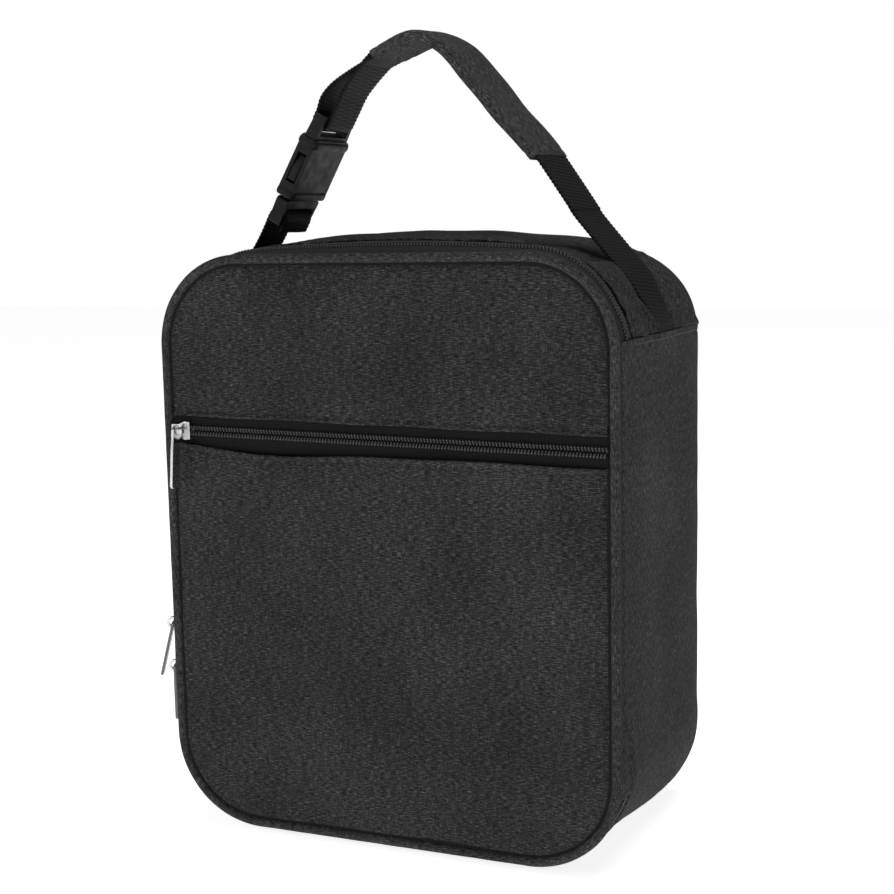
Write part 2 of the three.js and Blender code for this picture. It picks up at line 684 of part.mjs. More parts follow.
function addHandle() {
  const line = curveThrough(HANDLE_LINE);
  const [gripStart, gripEnd] = GRIP;
  const run = shifted(sample(line, 0, gripEnd, 40), LAYER);
  const tailLine = shifted(sample(line, gripEnd, gripEnd - 0.06, 3), LAYER);

  const runEnd = run.slice(-3).map((p) => [p.x, p.z]);
  const innerLeg = curveThrough([...runEnd, fromBuckle([4.2, 71]), fromBuckle([4, 60])]);
  const turn = turnRound(FEMALE_BAR_THICKNESS, FEMALE_TOP - BAR + 0.6, -1, 8);
  const outerLeg = curveThrough([
    fromBuckle([-4, 57]), fromBuckle([-4.8, 63]), fromBuckle([-2.4, 71]), ...tailLine.map((p) => [p.x, p.z]),
  ]);
  const path = [...run.slice(0, -3), ...sample(innerLeg, 0, 1, 8), ...turn, ...sample(outerLeg, 0, 1, 12)];
  addMesh('handle_webbing', strap(path), materials.webbing);

  const gripFrames = strapFrames(sample(line, gripStart, gripEnd, 26));
  const coreFrames = strapFrames(sample(line, gripStart - 0.02, gripEnd + 0.02, 28));
  const sleeve = toSolid(sweep(gripFrames, () => strapSection(-2.9, 2.9, 14.2)));
  const hollow = toSolid(sweep(coreFrames, () => strapSection(-2, 2, 13)));
  addMesh('grip_sleeve', toGeometry(sleeve.subtract(hollow)), materials.heather);

  addMesh('right_anchor_webbing', strap(sample(curveThrough(RIGHT_ANCHOR), 0, 1, 16)), materials.webbing);
  const maleTurn = turnRound(MALE_HALF_THICKNESS, 2.6, 1, 8);
  const clear = MALE_HALF_THICKNESS + GAP + WEBBING / 2;
  const loop = [toPoint(fromBuckle([clear, -0.5])), ...maleTurn, toPoint(fromBuckle([-clear, 0]))];
  addMesh('left_loop_webbing', strap(loop), materials.webbing);
  const anchorEnd = fromBuckle([-clear, -GAP]);
  const anchor = curveThrough([...LEFT_ANCHOR, anchorEnd]);
  addMesh('left_anchor_webbing', strap(sample(anchor, 0, 1, 18)), materials.webbing);
}

addBody();
addMainZipper();
addLid();
addPocketZipper();
addMainSlider('upper', UPPER_SLIDER_Z, true, UPPER_PULL_TILT);
addMainSlider('lower', LOWER_SLIDER_Z, false, 0);
addPocketSlider();
addBuckle();
addHandle();

export default bag;
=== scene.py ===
# Looks of the insulated lunch bag. Shapes are worked out in millimetres, in the frame that the model uses:
# +X towards the hinge side, the front faces -Y, +Z up, standing on z = 0. Meshes are in metres.
import math

import bmesh
import bpy
import numpy as np
from mathutils import Matrix, Vector


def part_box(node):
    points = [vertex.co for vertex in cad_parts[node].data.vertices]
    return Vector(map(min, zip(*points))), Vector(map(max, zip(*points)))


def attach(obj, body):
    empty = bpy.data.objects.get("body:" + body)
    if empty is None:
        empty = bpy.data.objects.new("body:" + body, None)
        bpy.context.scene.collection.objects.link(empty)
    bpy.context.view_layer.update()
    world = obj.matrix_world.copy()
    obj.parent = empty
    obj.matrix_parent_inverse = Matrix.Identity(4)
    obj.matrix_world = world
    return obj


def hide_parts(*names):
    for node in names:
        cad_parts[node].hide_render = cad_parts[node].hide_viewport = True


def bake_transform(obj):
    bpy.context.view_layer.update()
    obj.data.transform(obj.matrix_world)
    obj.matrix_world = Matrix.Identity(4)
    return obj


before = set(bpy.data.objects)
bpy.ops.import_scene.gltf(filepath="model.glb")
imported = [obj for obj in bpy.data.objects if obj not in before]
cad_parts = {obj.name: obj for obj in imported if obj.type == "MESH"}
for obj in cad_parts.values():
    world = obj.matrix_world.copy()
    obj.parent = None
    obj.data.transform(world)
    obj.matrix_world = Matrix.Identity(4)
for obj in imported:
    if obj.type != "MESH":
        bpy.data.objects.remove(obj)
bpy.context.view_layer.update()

MM = 0.001
PIPING_RADIUS = 2.0
TOP_RADIUS = 38.4
BASE_RADIUS = 40.0
FABRIC = 1.0
FILM = 0.5
WEBBING = 1.4
WEBBING_HALF = 12.5

# How far the soft walls stand out past the outline.
TOP_SWELL = 10.5
SIDE_SWELL = 3.5
LEFT_SWELL = 14  # on the zipped side, below its shoulder
SHOULDER = (150, 225)  # heights over which the zipped side's swell fades
FOOT = 4.0  # below the outline's base
REAR_FLARE = 3.2  # at the hinge side's rear edge
CORNER_BULGE = 5.5  # at that side's lower rear corner


def box_mm(name):
    """Lowest and highest corner of a node, in millimetres."""
    low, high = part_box(name)
    return np.array(low) / MM, np.array(high) / MM


piping_low, piping_high = box_mm("front_piping")
HALF = piping_high[0] - PIPING_RADIUS
BASE_Z = piping_low[2] + PIPING_RADIUS
TOP_Z = piping_high[2] - PIPING_RADIUS
FRONT = (piping_low[1] + piping_high[1]) / 2
BACK = box_mm("back_panel")[1][1] + 0.3
DEPTH = BACK - FRONT

# Distances behind the front piping's plane.
LID_TAPE = (2.3, 11.2)
LID_COIL = (11.5, 12.9)
BODY_COIL = (14.2, 15.6)
GUSSET_START = 19.8
CHAIN_MIDDLE = (LID_COIL[1] + BODY_COIL[0]) / 2

# Front layers and the pocket zipper, which lies slightly out of level.
PANEL_FACE = -1.2
PANEL_INSET = 2.1
POCKET_Z = 185.6
POCKET_SLOPE = -0.0135
POCKET_BAND = 13.4


# ---------- outline ----------

# Runs of the outline, anticlockwise as seen from the front, from the top of the straight right side.
# An arc is (centre x, centre z, radius, first angle), a line is (x, z, direction x, direction z).
TOP_REACH = HALF - TOP_RADIUS
BASE_REACH = HALF - BASE_RADIUS
SIDE_RUN = TOP_Z - BASE_Z - TOP_RADIUS - BASE_RADIUS
TOP_ARC = math.pi / 2 * TOP_RADIUS
BASE_ARC = math.pi / 2 * BASE_RADIUS
RUNS = [
    ("arc", TOP_ARC, (TOP_REACH, TOP_Z - TOP_RADIUS, TOP_RADIUS, 0)),
    ("line", 2 * TOP_REACH, (TOP_REACH, TOP_Z, -1, 0)),
    ("arc", TOP_ARC, (-TOP_REACH, TOP_Z - TOP_RADIUS, TOP_RADIUS, 90)),
    ("line", SIDE_RUN, (-HALF, TOP_Z - TOP_RADIUS, 0, -1)),
    ("arc", BASE_ARC, (-BASE_REACH, BASE_Z + BASE_RADIUS, BASE_RADIUS, 180)),
    ("line", 2 * BASE_REACH, (-BASE_REACH, BASE_Z, 1, 0)),
    ("arc", BASE_ARC, (BASE_REACH, BASE_Z + BASE_RADIUS, BASE_RADIUS, 270)),
    ("line", SIDE_RUN, (HALF, BASE_Z + BASE_RADIUS, 0, 1)),
]
ROUND = sum(run[1] for run in RUNS)
SEAM = math.radians(5) * TOP_RADIUS  # from the straight side to the seam of gusset and side panel
LEFT_TOP = 2 * TOP_ARC + 2 * TOP_REACH
ZIP_END = ROUND - SIDE_RUN - math.radians(15) * BASE_RADIUS


def outline(s):
    """Rows of x, z, outward x and outward z at distances s round the outline."""
    rows = np.zeros((len(s), 4))
    rest = np.mod(s, ROUND)
    start = 0.0
    for kind, length, (a, b, c, d) in RUNS:
        here = (rest >= start - 1e-9) & (rest <= start + length + 1e-9)
        t = rest[here] - start
        if kind == "arc":
            angle = math.radians(d) + t / c
            nx, nz = np.cos(angle), np.sin(angle)
            rows[here] = np.stack([a + c * nx, b + c * nz, nx, nz], 1)
        else:
            rows[here] = np.stack([a + c * t, b + d * t, np.full_like(t, d), np.full_like(t, -c)], 1)
        start += length
    return rows


def smoothstep(value, low, high):
    t = np.clip((value - low) / (high - low), 0, 1)
    return t * t * (3 - 2 * t)


def hump(value, place, width):
    """A smooth hump, 1 high, at one place."""
    return np.exp(-((value - place) / width) ** 2)


def swell(x, z, nz, d):
    """How far the outer fabric stands out past the outline, at a distance d behind the front piping."""
    rounded = 1 - np.abs(2 * d / DEPTH - 1) ** 3.2
    level = np.minimum(1, 0.1 + 0.9 * np.minimum(d, DEPTH - d) / 20)
    below = np.where(x < 0, 1 - smoothstep(z, *SHOULDER), 0)
    side = (SIDE_SWELL + (LEFT_SWELL - SIDE_SWELL) * below) * np.maximum(0, 1 - 2 * np.abs(nz))
    top = TOP_SWELL * (1 - (x / HALF) ** 2) * np.maximum(0, nz)
    return (side + top) * rounded + FOOT * np.maximum(0, -nz) ** 2 * level


def swell_at(rows, d):
    """The swell at rows of the outline."""
    return swell(rows[:, 0], rows[:, 1], rows[:, 3], d)


def upright(pairs, y=0.0):
    """Rows that start with x and z, as rows of x, y and z."""
    return np.stack([pairs[:, 0], np.full(len(pairs), y), pairs[:, 1]], 1)


def travelled(points):
    """How far each point lies along the line from the first."""
    return np.concatenate([[0], np.cumsum(np.linalg.norm(np.diff(points, axis=0), axis=1))])


# ---------- meshes ----------

def make_object(name, points, faces, weave):
    """A smooth mesh object. points and weave, each point's place on the cloth, are in millimetres."""
    mesh = bpy.data.meshes.new(name)
    mesh.from_pydata((np.asarray(points) * MM).tolist(), [], [tuple(map(int, face)) for face in faces])
    mesh.update()
    flat = np.zeros((len(points), 3), np.float32)
    flat[:, :2] = np.asarray(weave).reshape(-1, 2)
    mesh.attributes.new("weave", "FLOAT_VECTOR", "POINT").data.foreach_set("vector", flat.ravel())
    mesh.polygons.foreach_set("use_smooth", [True] * len(mesh.polygons))
    made = bpy.data.objects.new(name, mesh)
    bpy.context.scene.collection.objects.link(made)
    return made


def weave_grid(s, d):
    return np.stack(np.broadcast_arrays(s[:, None], d[None, :]), -1)


def grid_faces(rows, columns, ring=False, keep=None):
    faces = []
    for i in range(rows if ring else rows - 1):
        k = (i + 1) % rows
        for j in range(columns - 1):
            if keep is None or keep[i, j]:
                faces.append((i * columns + j, k * columns + j, k * columns + j + 1, i * columns + j + 1))
    return faces


def sleeve_faces(rings, size, first=0, ring=False):
    """Faces between neighbouring rings of points, and from the last to the first of a closed ring."""
    faces = []
    for i in range(rings if ring else rings - 1):
        low, high = first + i * size, first + (i + 1) % rings * size
        for j in range(size):
            m = (j + 1) % size
            faces.append((low + j, low + m, high + m, high + j))
    return faces


def edit_mesh(mesh, change):
    """Puts a mesh through a change, which is a function of its bmesh."""
    work = bmesh.new()
    work.from_mesh(mesh)
    change(work)
    work.to_mesh(mesh)
    work.free()


def drop_loose_points(work):
    bmesh.ops.delete(work, geom=[v for v in work.verts if not v.link_faces], context="VERTS")


def turn_faces_outward(work):
    bmesh.ops.recalc_face_normals(work, faces=work.faces)


def merge_flat_faces(work):
    bmesh.ops.remove_doubles(work, verts=work.verts, dist=1e-6)
    bmesh.ops.dissolve_limit(work, angle_limit=math.radians(1), verts=work.verts, edges=work.edges)


def bake_modifiers(made):
    """Puts a piece's modifiers into its mesh."""
    graph = bpy.context.evaluated_depsgraph_get()
    mesh = bpy.data.meshes.new_from_object(made.evaluated_get(graph), depsgraph=graph)
    made.modifiers.clear()
    made.data = mesh
    return made


def slumped(points):
    """The hinge side's rear edge stands out, and its lower rear corner bulges."""
    x, y, z = (points[..., i] for i in range(3))
    flare = REAR_FLARE * smoothstep(x, 55, HALF) * smoothstep(y, FRONT + 45, BACK)
    across, down = x - (HALF - BASE_RADIUS), BASE_Z + BASE_RADIUS - z
    reach = np.maximum(np.hypot(across, down), 1)
    turned = np.arctan2(down, across)
    bulge = CORNER_BULGE * hump(turned, math.pi / 4, 0.5)
    bulge = bulge * smoothstep(reach, 12, BASE_RADIUS) * smoothstep(y, FRONT + 18, FRONT + 90)
    moved_x = x + flare + bulge * across / reach
    moved_z = np.maximum(z - bulge * down / reach, 0.02)
    return np.stack([moved_x, y, moved_z], -1)


def cloth(name, points, weave, thickness=FABRIC, ring=False, keep=None, inside=(0, 0, 130)):
    """A closed piece of cloth from a grid of points on its outer face, thickened towards a point inside."""
    rows, columns = points.shape[:2]
    points = slumped(points)
    faces = grid_faces(rows, columns, ring, keep)
    made = make_object(name, points.reshape(-1, 3), faces, weave)
    mesh = made.data
    centre = Vector(inside) * MM
    outward = sum((p.center - centre).dot(p.normal) * p.area for p in mesh.polygons)
    if outward < 0:
        mesh.flip_normals()
    edit_mesh(mesh, drop_loose_points)
    solid = made.modifiers.new("thickness", "SOLIDIFY")
    solid.thickness = thickness * MM
    solid.offset = -1
    solid.use_even_offset = False
    return bake_modifiers(made)


def tube(name, centres, sides_a, sides_b, section, ring=False):
    """A closed tube: section gives [a, b] offsets along the two side directions, at each centre."""
    section = np.asarray(section)
    count, size = len(centres), section.shape[-2]
    if section.ndim == 2:
        section = np.broadcast_to(section, (count, size, 2))
    points = centres[:, None] + section[..., :1] * sides_a[:, None] + section[..., 1:] * sides_b[:, None]
    faces = sleeve_faces(count, size, ring=ring)
    if not ring:
        faces.append(tuple(range(size)))
        faces.append(tuple(range((count - 1) * size, count * size)))
    edge = np.linalg.norm(np.diff(section[0], axis=0, append=section[0][:1]), axis=1)
    across = np.concatenate([[0], np.cumsum(edge)[:-1]])
    made = make_object(name, points.reshape(-1, 3), faces, weave_grid(travelled(centres), across))
    edit_mesh(made.data, turn_faces_outward)
    return made


def circle(radius, sides):
    angle = np.arange(sides) / sides * 2 * math.pi
    return radius * np.stack([np.cos(angle), np.sin(angle)], 1)


def rounded_section(low, high, half_width, corner=0.6, steps=3, across=1):
    """A strap's section as [thickness, width] pairs, with rounded corners and points across its width."""
    corner = min(corner, (high - low) / 2 * 0.98)
    points = []
    for sign_a, sign_b, first in ((1, 1, 0), (-1, 1, 90), (-1, -1, 180), (1, -1, 270)):
        centre = ((high - corner) if sign_a > 0 else (low + corner), sign_b * (half_width - corner))
        for i in range(steps + 1):
            angle = math.radians(first + 90 * i / steps)
            points.append((centre[0] + corner * math.cos(angle), centre[1] + corner * math.sin(angle)))
        if first in (90, 270):
            last = points[-1]
            reach = -2 * sign_b * (half_width - corner)
            points += [(last[0], last[1] + reach * i / across) for i in range(1, across)]
    return np.array(points)


# A rounded bar's rings: their shares of its length and of its radius.
BAR_PLACES = np.array([0, 0.1, 0.35, 0.65, 0.9, 1.0])
BAR_WIDTHS = np.array([0.45, 0.9, 1.0, 1.0, 0.9, 0.45])
BAR_SIDES = 6


def capsules(name, starts, ends, radius, flat=None, bow=None):
    """Many short rounded bars in one mesh. bow raises a bar's middle, flat is its second radius."""
    starts, ends = np.asarray(starts, float), np.asarray(ends, float)
    axis = ends - starts
    length = np.linalg.norm(axis, axis=1, keepdims=True)
    axis = axis / length
    lift = np.asarray(bow) if bow is not None else np.zeros_like(axis)
    helper = np.where(np.linalg.norm(lift, axis=1, keepdims=True) > 1e-9, lift, np.array([[0.3, 0.5, 0.81]]))
    up = helper - (helper * axis).sum(1, keepdims=True) * axis
    up /= np.linalg.norm(up, axis=1, keepdims=True)
    side = np.cross(axis, up)
    flat = flat or radius
    turn = np.arange(BAR_SIDES) / BAR_SIDES * 2 * math.pi
    spokes = (radius * np.cos(turn)[None, :, None] * up[:, None]
              + flat * np.sin(turn)[None, :, None] * side[:, None])
    rings = []
    for place, width in zip(BAR_PLACES, BAR_WIDTHS):
        centre = starts + axis * length * place + lift * (1 - (2 * place - 1) ** 2)
        rings.append(centre[:, None] + width * spokes)
    block = np.stack(rings, 1).reshape(-1, 3)
    steps = len(BAR_PLACES)
    faces = []
    for base in range(0, len(block), steps * BAR_SIDES):
        last = base + (steps - 1) * BAR_SIDES
        faces += sleeve_faces(steps, BAR_SIDES, base)
        faces.append(tuple(reversed(range(base, base + BAR_SIDES))))
        faces.append(tuple(range(last, last + BAR_SIDES)))
    made = make_object(name, block, faces, np.zeros((len(block), 2)))
    edit_mesh(made.data, turn_faces_outward)
    return made


# ---------- materials ----------

def new_material(name, roughness, metallic=0.0, specular=0.5):
    made = bpy.data.materials.new(name)
    made.use_nodes = True
    shader = made.node_tree.nodes["Principled BSDF"]
    shader.inputs["Roughness"].default_value = roughness
    shader.inputs["Metallic"].default_value = metallic
    shader.inputs["Specular IOR Level"].default_value = specular
    return made, made.node_tree, shader


def add_node(tree, kind, inputs=None, **settings):
    made = tree.nodes.new(kind)
    for key, value in settings.items():
        setattr(made, key, value)
    for key, value in (inputs or {}).items():
        if isinstance(value, bpy.types.NodeSocket):
            tree.links.new(value, made.inputs[key])
        else:
            made.inputs[key].default_value = value
    return made


def weave_place(tree):
    """The place on the cloth, in millimetres."""
    return add_node(tree, "ShaderNodeAttribute", attribute_name="weave").outputs["Vector"]


def solid_place(tree):
    """The place in the object, in millimetres."""
    where = add_node(tree, "ShaderNodeTexCoord").outputs["Object"]
    inputs = {0: where, 1: (1 / MM,) * 3}
    return add_node(tree, "ShaderNodeVectorMath", inputs, operation="MULTIPLY").outputs[0]


def noise(tree, place, size, seed, detail, roughness=0.55):
    """Noise whose features measure size = (x, y, z) in millimetres."""
    scale = tuple(1 / value for value in size)
    shift = (seed, seed * 1.7, 0.3 * seed)
    moved = add_node(tree, "ShaderNodeMapping", {"Vector": place, "Scale": scale, "Location": shift})
    inputs = {"Vector": moved.outputs[0], "Scale": 1.0, "Detail": detail, "Roughness": roughness}
    return add_node(tree, "ShaderNodeTexNoise", inputs).outputs["Fac"]


def maths(tree, operation, a, b=0.0, c=None):
    inputs = {0: a, 1: b}
    if c is not None:
        inputs[2] = c
    return add_node(tree, "ShaderNodeMath", inputs, operation=operation).outputs[0]


def weighted(tree, parts):
    """Sum of sockets times weights."""
    total = None
    for socket, weight in parts:
        scaled = maths(tree, "MULTIPLY", socket, weight)
        total = scaled if total is None else maths(tree, "ADD", total, scaled)
    return total


def ramp(tree, value, stops):
    made = add_node(tree, "ShaderNodeValToRGB", {"Fac": value})
    elements = made.color_ramp.elements
    while len(elements) < len(stops):
        elements.new(0.5)
    for element, (position, colour) in zip(elements, stops):
        element.position = position
        element.color = (*colour, 1)
    return made.outputs["Color"]


def wave(tree, distance, pitch):
    """A 0 to 1 wave of a distance."""
    turned = maths(tree, "MULTIPLY", distance, 2 * math.pi / pitch)
    return maths(tree, "MULTIPLY_ADD", maths(tree, "SINE", turned), 0.5, 0.5)


def waves(tree, place, pitch, axis):
    """A 0 to 1 wave along one axis of the cloth."""
    parts = add_node(tree, "ShaderNodeSeparateXYZ", {"Vector": place})
    return wave(tree, parts.outputs[axis], pitch)


def bump(tree, shader, height, strength, distance=0.2):
    inputs = {"Height": height, "Strength": strength, "Distance": distance * MM}
    made = add_node(tree, "ShaderNodeBump", inputs)
    tree.links.new(made.outputs[0], shader.inputs["Normal"])


def grey(value, tint=0.0):
    return (value * (1 + tint * 0.3), value, value * (1 - tint * 0.2))


def vary_colour(tree, shader, value, stops):
    tree.links.new(ramp(tree, value, stops), shader.inputs["Base Color"])


def vary_roughness(tree, shader, value, low, high):
    """Roughness between low and high, where a noise goes from 0.3 to 0.7."""
    rough = ramp(tree, value, [(0.3, grey(low)), (0.7, grey(high))])
    tree.links.new(rough, shader.inputs["Roughness"])


def heather_material(name, level=1.0, thread=0.55):
    """Heathered canvas: dark and light yarns in both directions, with slubs and a plain weave."""
    made, tree, shader = new_material(name, 0.92, specular=0.08)
    place = weave_place(tree)
    warp = noise(tree, place, (2.8, thread * 0.52, 1), 3.1, 1.0)
    weft = noise(tree, place, (thread * 0.52, 1.9, 1), 11.7, 1.0)
    slub = noise(tree, place, (2.6, 0.6, 1), 23.0, 1.0)
    grain = noise(tree, place, (0.4, 0.4, 1), 5.0, 1.0)
    tone = noise(tree, place, (45, 60, 1), 41.0, 2.0)
    parts = [(warp, 0.50), (weft, 0.20), (slub, 0.16), (grain, 0.16), (tone, 0.10)]
    mix = weighted(tree, parts)
    middle = sum(share for _, share in parts) / 2
    spread = 0.088
    stops = [
        (middle - spread, grey(0.012 * level)),
        (middle - 0.1 * spread, grey(0.030 * level)),
        (middle + 0.8 * spread, grey(0.060 * level)),
        (middle + 1.4 * spread, grey(0.125 * level)),
    ]
    vary_colour(tree, shader, mix, stops)
    over = waves(tree, place, thread * 2, 0)
    under = waves(tree, place, thread * 2, 1)
    height = weighted(tree, [(warp, 0.5), (weft, 0.5), (over, 0.22), (under, 0.22), (grain, 0.5)])
    bump(tree, shader, height, 0.55, 0.28)
    vary_roughness(tree, shader, warp, 0.82, 0.97)
    return made


def ribbed_material(name, level, rib, roughness, slant=0.0):
    """Webbing or tape: ribs across its length, with fine yarns in each rib. Its colour follows the ribs:
    lighter on their crests as a painted highlight and darker between them as painted shade, over the yarns'
    own uneven tone.
    """
    made, tree, shader = new_material(name, roughness, specular=0.14)
    place = weave_place(tree)
    parts = add_node(tree, "ShaderNodeSeparateXYZ", {"Vector": place})
    slanted = maths(tree, "MULTIPLY_ADD", parts.outputs[1], slant, parts.outputs[0])
    ribs = wave(tree, slanted, rib)
    yarns = waves(tree, place, 0.7, 1)
    fibre = noise(tree, place, (0.3, 1.2, 1), 7.0, 2.0)
    mix = weighted(tree, [(ribs, 0.5), (yarns, 0.18), (fibre, 0.32)])
    # The rib wave in mix paints the crests lighter as a painted highlight and the troughs darker as painted
    # shade; the yarns and fibre give the real uneven tone.
    stops = [(0.2, grey(0.3 * level)), (0.55, grey(level)), (0.85, grey(2.8 * level))]
    vary_colour(tree, shader, mix, stops)
    bump(tree, shader, mix, 0.7, 0.3)
    vary_roughness(tree, shader, fibre, roughness - 0.12, roughness + 0.15)
    return made


def plastic_material(name, level, roughness):
    """Moulded plastic: a fine satin texture, soft uneven gloss and lighter wear."""
    made, tree, shader = new_material(name, roughness, specular=0.24)
    place = solid_place(tree)
    fine = noise(tree, place, (0.25, 0.25, 0.25), 2.0, 2.0)
    broad = noise(tree, place, (6, 6, 6), 9.0, 3.0)
    mix = weighted(tree, [(fine, 0.5), (broad, 0.5)])
    stops = [(0.3, grey(0.75 * level)), (0.55, grey(level)), (0.75, grey(1.5 * level))]
    vary_colour(tree, shader, mix, stops)
    vary_roughness(tree, shader, broad, roughness - 0.08, roughness + 0.12)
    bump(tree, shader, fine, 0.25, 0.05)
    return made


def metal_material(name, level, roughness):
    """Plated die-cast metal: fine polishing lines and small dull spots."""
    made, tree, shader = new_material(name, roughness, metallic=1.0)
    place = solid_place(tree)
    lines = noise(tree, place, (0.15, 0.15, 4), 4.0, 2.0)
    spots = noise(tree, place, (1.2, 1.2, 1.2), 8.0, 3.0)
    stops = [(0.35, grey(0.72 * level, 0.04)), (0.6, grey(level, 0.03))]
    vary_colour(tree, shader, spots, stops)
    both = weighted(tree, [(lines, 0.5), (spots, 0.5)])
    vary_roughness(tree, shader, both, roughness * 0.7, roughness * 1.6)
    bump(tree, shader, lines, 0.12, 0.05)
    return made


def foil_material(name):
    """Foil faced film: bright, with fine embossing and crinkles."""
    made, tree, shader = new_material(name, 0.34, metallic=0.75)
    place = weave_place(tree)
    crease = noise(tree, place, (9, 9, 1), 3.0, 5.0, 0.65)
    emboss = weighted(tree, [(waves(tree, place, 1.6, 0), 0.5), (waves(tree, place, 1.6, 1), 0.5)])
    stops = [(0.3, grey(0.36, -0.1)), (0.7, grey(0.56, -0.1))]
    vary_colour(tree, shader, crease, stops)
    bump(tree, shader, weighted(tree, [(crease, 1.0), (emboss, 0.12)]), 0.6, 1.2)
    vary_roughness(tree, shader, crease, 0.26, 0.44)
    return made


# The webbing's ribs, in its shape and its material alike: their pitch, and how far they lean.
RIB = 1.9
RIB_SLANT = 0.12

HEATHER = heather_material("heather_canvas")
# The piping is the same heather made 1.3 times lighter: a painted highlight along the round piping.
PIPED = heather_material("heather_piping", level=1.3, thread=0.45)
# The grip is the same heather made 1.55 times lighter: painted light on the upward facing grip.
GRIP_CLOTH = heather_material("heather_grip", level=1.55)
GUSSET_TAPE = ribbed_material("zipper_tape", 0.019, 0.9, 0.75, slant=0.5)
POCKET_TAPE = ribbed_material("pocket_tape", 0.0085, 0.8, 0.7, slant=0.5)
BINDING = ribbed_material("seam_binding", 0.012, 0.9, 0.8)
STRAP = ribbed_material("ribbed_webbing", 0.0085, RIB, 0.62, slant=RIB_SLANT)
COIL = plastic_material("nylon_coil", 0.05, 0.42)
THREAD = plastic_material("sewing_thread", 0.13, 0.75)
PLASTIC = plastic_material("buckle_acetal", 0.010, 0.52)
CHROME = metal_material("nickel_plate", 0.74, 0.2)
GUNMETAL = metal_material("gunmetal_plate", 0.16, 0.26)
FOIL = foil_material("foil_lining")


def finish_piece(made, body, material, replaces=()):
    made.data.materials.clear()
    made.data.materials.append(material)
    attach(made, body)
    if replaces:
        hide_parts(*replaces)


# ---------- the bag's soft walls ----------

# Folds in the cloth, as (distance round, depth) to (distance round, depth), height and width.
FOLDS = [
    (19, 16, 4, 35, 1.9, 2.6),
    (30, 31, 6, 51, 2.3, 3.0),
    (40, 95, 17, 95, 1.8, 3.2),
    (17, 95, 4, 114, 1.6, 2.8),
    (47, 14, 43, 46, -1.8, 3.0),
    (24, 84, 8, 79, 1.2, 3.0),
]
RECESS_FROM = np.array([57.0, 6.0])
RECESS_SIDE = np.array([-0.832, 0.554])
RECESS_DEPTH = 3.6

WALL_END = DEPTH - 1.4  # depth of the walls' rear edge
SEAM_GAP = 0.1  # between the gusset's cloth and the side panel's

# Stitches along the side panel's upper hem.
STITCH = 2.2
STITCH_PITCH = 3.1
STITCH_INSET = 2.3


def segment_distance(s, d, a, b):
    start, run = np.array(a), np.array(b) - np.array(a)
    t = np.clip(((s - start[0]) * run[0] + (d - start[1]) * run[1]) / (run @ run), 0, 1)
    return np.hypot(s - start[0] - t * run[0], d - start[1] - t * run[1])


def ripple(s, d, size, seed):
    """A soft uneven wave between about -1 and 1, whose bumps measure about size millimetres."""
    total = 0
    for i in range(5):
        angle = seed + 2.4 * i
        pace = 2 * math.pi / (size * (0.8 + 0.23 * i))
        total = total + np.sin(pace * (s * math.cos(angle) + d * math.sin(angle)) + 1.7 * i * seed)
    return total / 3.2


def gusset_relief(s, d):
    """Folds of the top gusset: full on the right, and softer ones mirrored on the left."""
    total = 0.35 * ripple(s, d, 26, 1.3)
    loose = 0.15 + 0.85 * smoothstep(d, GUSSET_START, GUSSET_START + 7)
    for around, share in ((s, 1.0), (LEFT_TOP - s, 0.75)):
        for s0, d0, s1, d1, height, width in FOLDS:
            fold = hump(segment_distance(around, d, (s0, d0), (s1, d1)), 0, width)
            total = total + share * height * loose * fold
        side = (around - RECESS_FROM[0]) * RECESS_SIDE[0] + (d - RECESS_FROM[1]) * RECESS_SIDE[1]
        low = smoothstep(side, -1, 6) * smoothstep(around, 36, 50) * (1 - smoothstep(d, 66, 92))
        total = total - share * RECESS_DEPTH * loose * low * smoothstep(110 - around, 0, 30)
    return total


def side_relief(s, d):
    """Soft ripples of the side and base panel, its top hem and the lift over the webbing's ends."""
    total = 0.3 * ripple(s, d, 58, 0.6) + 0.1 * ripple(s, d, 17, 2.1)
    under = 1 - smoothstep(np.abs(d - DEPTH / 2), WEBBING_HALF - 1, WEBBING_HALF + 5)
    for below in (ROUND + SEAM - s, s - (LEFT_TOP - SEAM)):
        lift = (2.1 * under + 0.15) * np.exp(-np.maximum(below, 0) / 7)
        hem = 0.35 * hump(below, 0, 1.3) - 0.4 * hump(below, 3.2, 0.9)
        total = total + np.where(below >= 0, lift, 0)
        total = total + np.where(below >= 0, hem, 0)
    pinch = segment_distance(s, d, (ZIP_END + 4, 19), (ZIP_END + 34, 12))
    front = segment_distance(s, d, (ZIP_END, 8), (ROUND, 8))
    return total + 1.2 * hump(pinch, 0, 3) + 0.3 * hump(front, 0, 1.6)


def edge_hem(place, start):
    """A turned edge from start on: a rounded lip, then the groove of its stitching."""
    away = place - start
    return 0.45 * hump(away, 0.9, 1.0) - 0.4 * hump(away, 3.4, 0.8)


def surface(s, d, extra=0.0):
    """Points at distances s round the outline and depths d, standing out by the swell plus extra."""
    rows = outline(s)
    x, z, nx, nz = (rows[:, i, None] for i in range(4))
    out = swell(x, z, nz, d) + extra
    y = np.broadcast_to(FRONT + d, out.shape)
    return np.stack([x + out * nx, y, z + out * nz], -1)


def spaced(stops, steps):
    """Numbers from stop to stop, at the given steps."""
    parts = [np.arange(a, b, step) for a, b, step in zip(stops, stops[1:], steps)]
    return np.concatenate([*parts, stops[-1:]])


def wall_cloth(name, s, d, relief, keep=None):
    s_grid, d_grid = s[:, None], d[None, :]
    points = surface(s, d_grid, relief(s_grid, d_grid))
    return cloth(name, points, weave_grid(s, d), keep=keep)


def back_seam(d):
    """How far a wall drops into its seam with the back."""
    return 0.5 * np.exp(-(WALL_END - d) / 2)


def top_relief(s, d):
    return gusset_relief(s, d) + edge_hem(d, GUSSET_START) - back_seam(d)


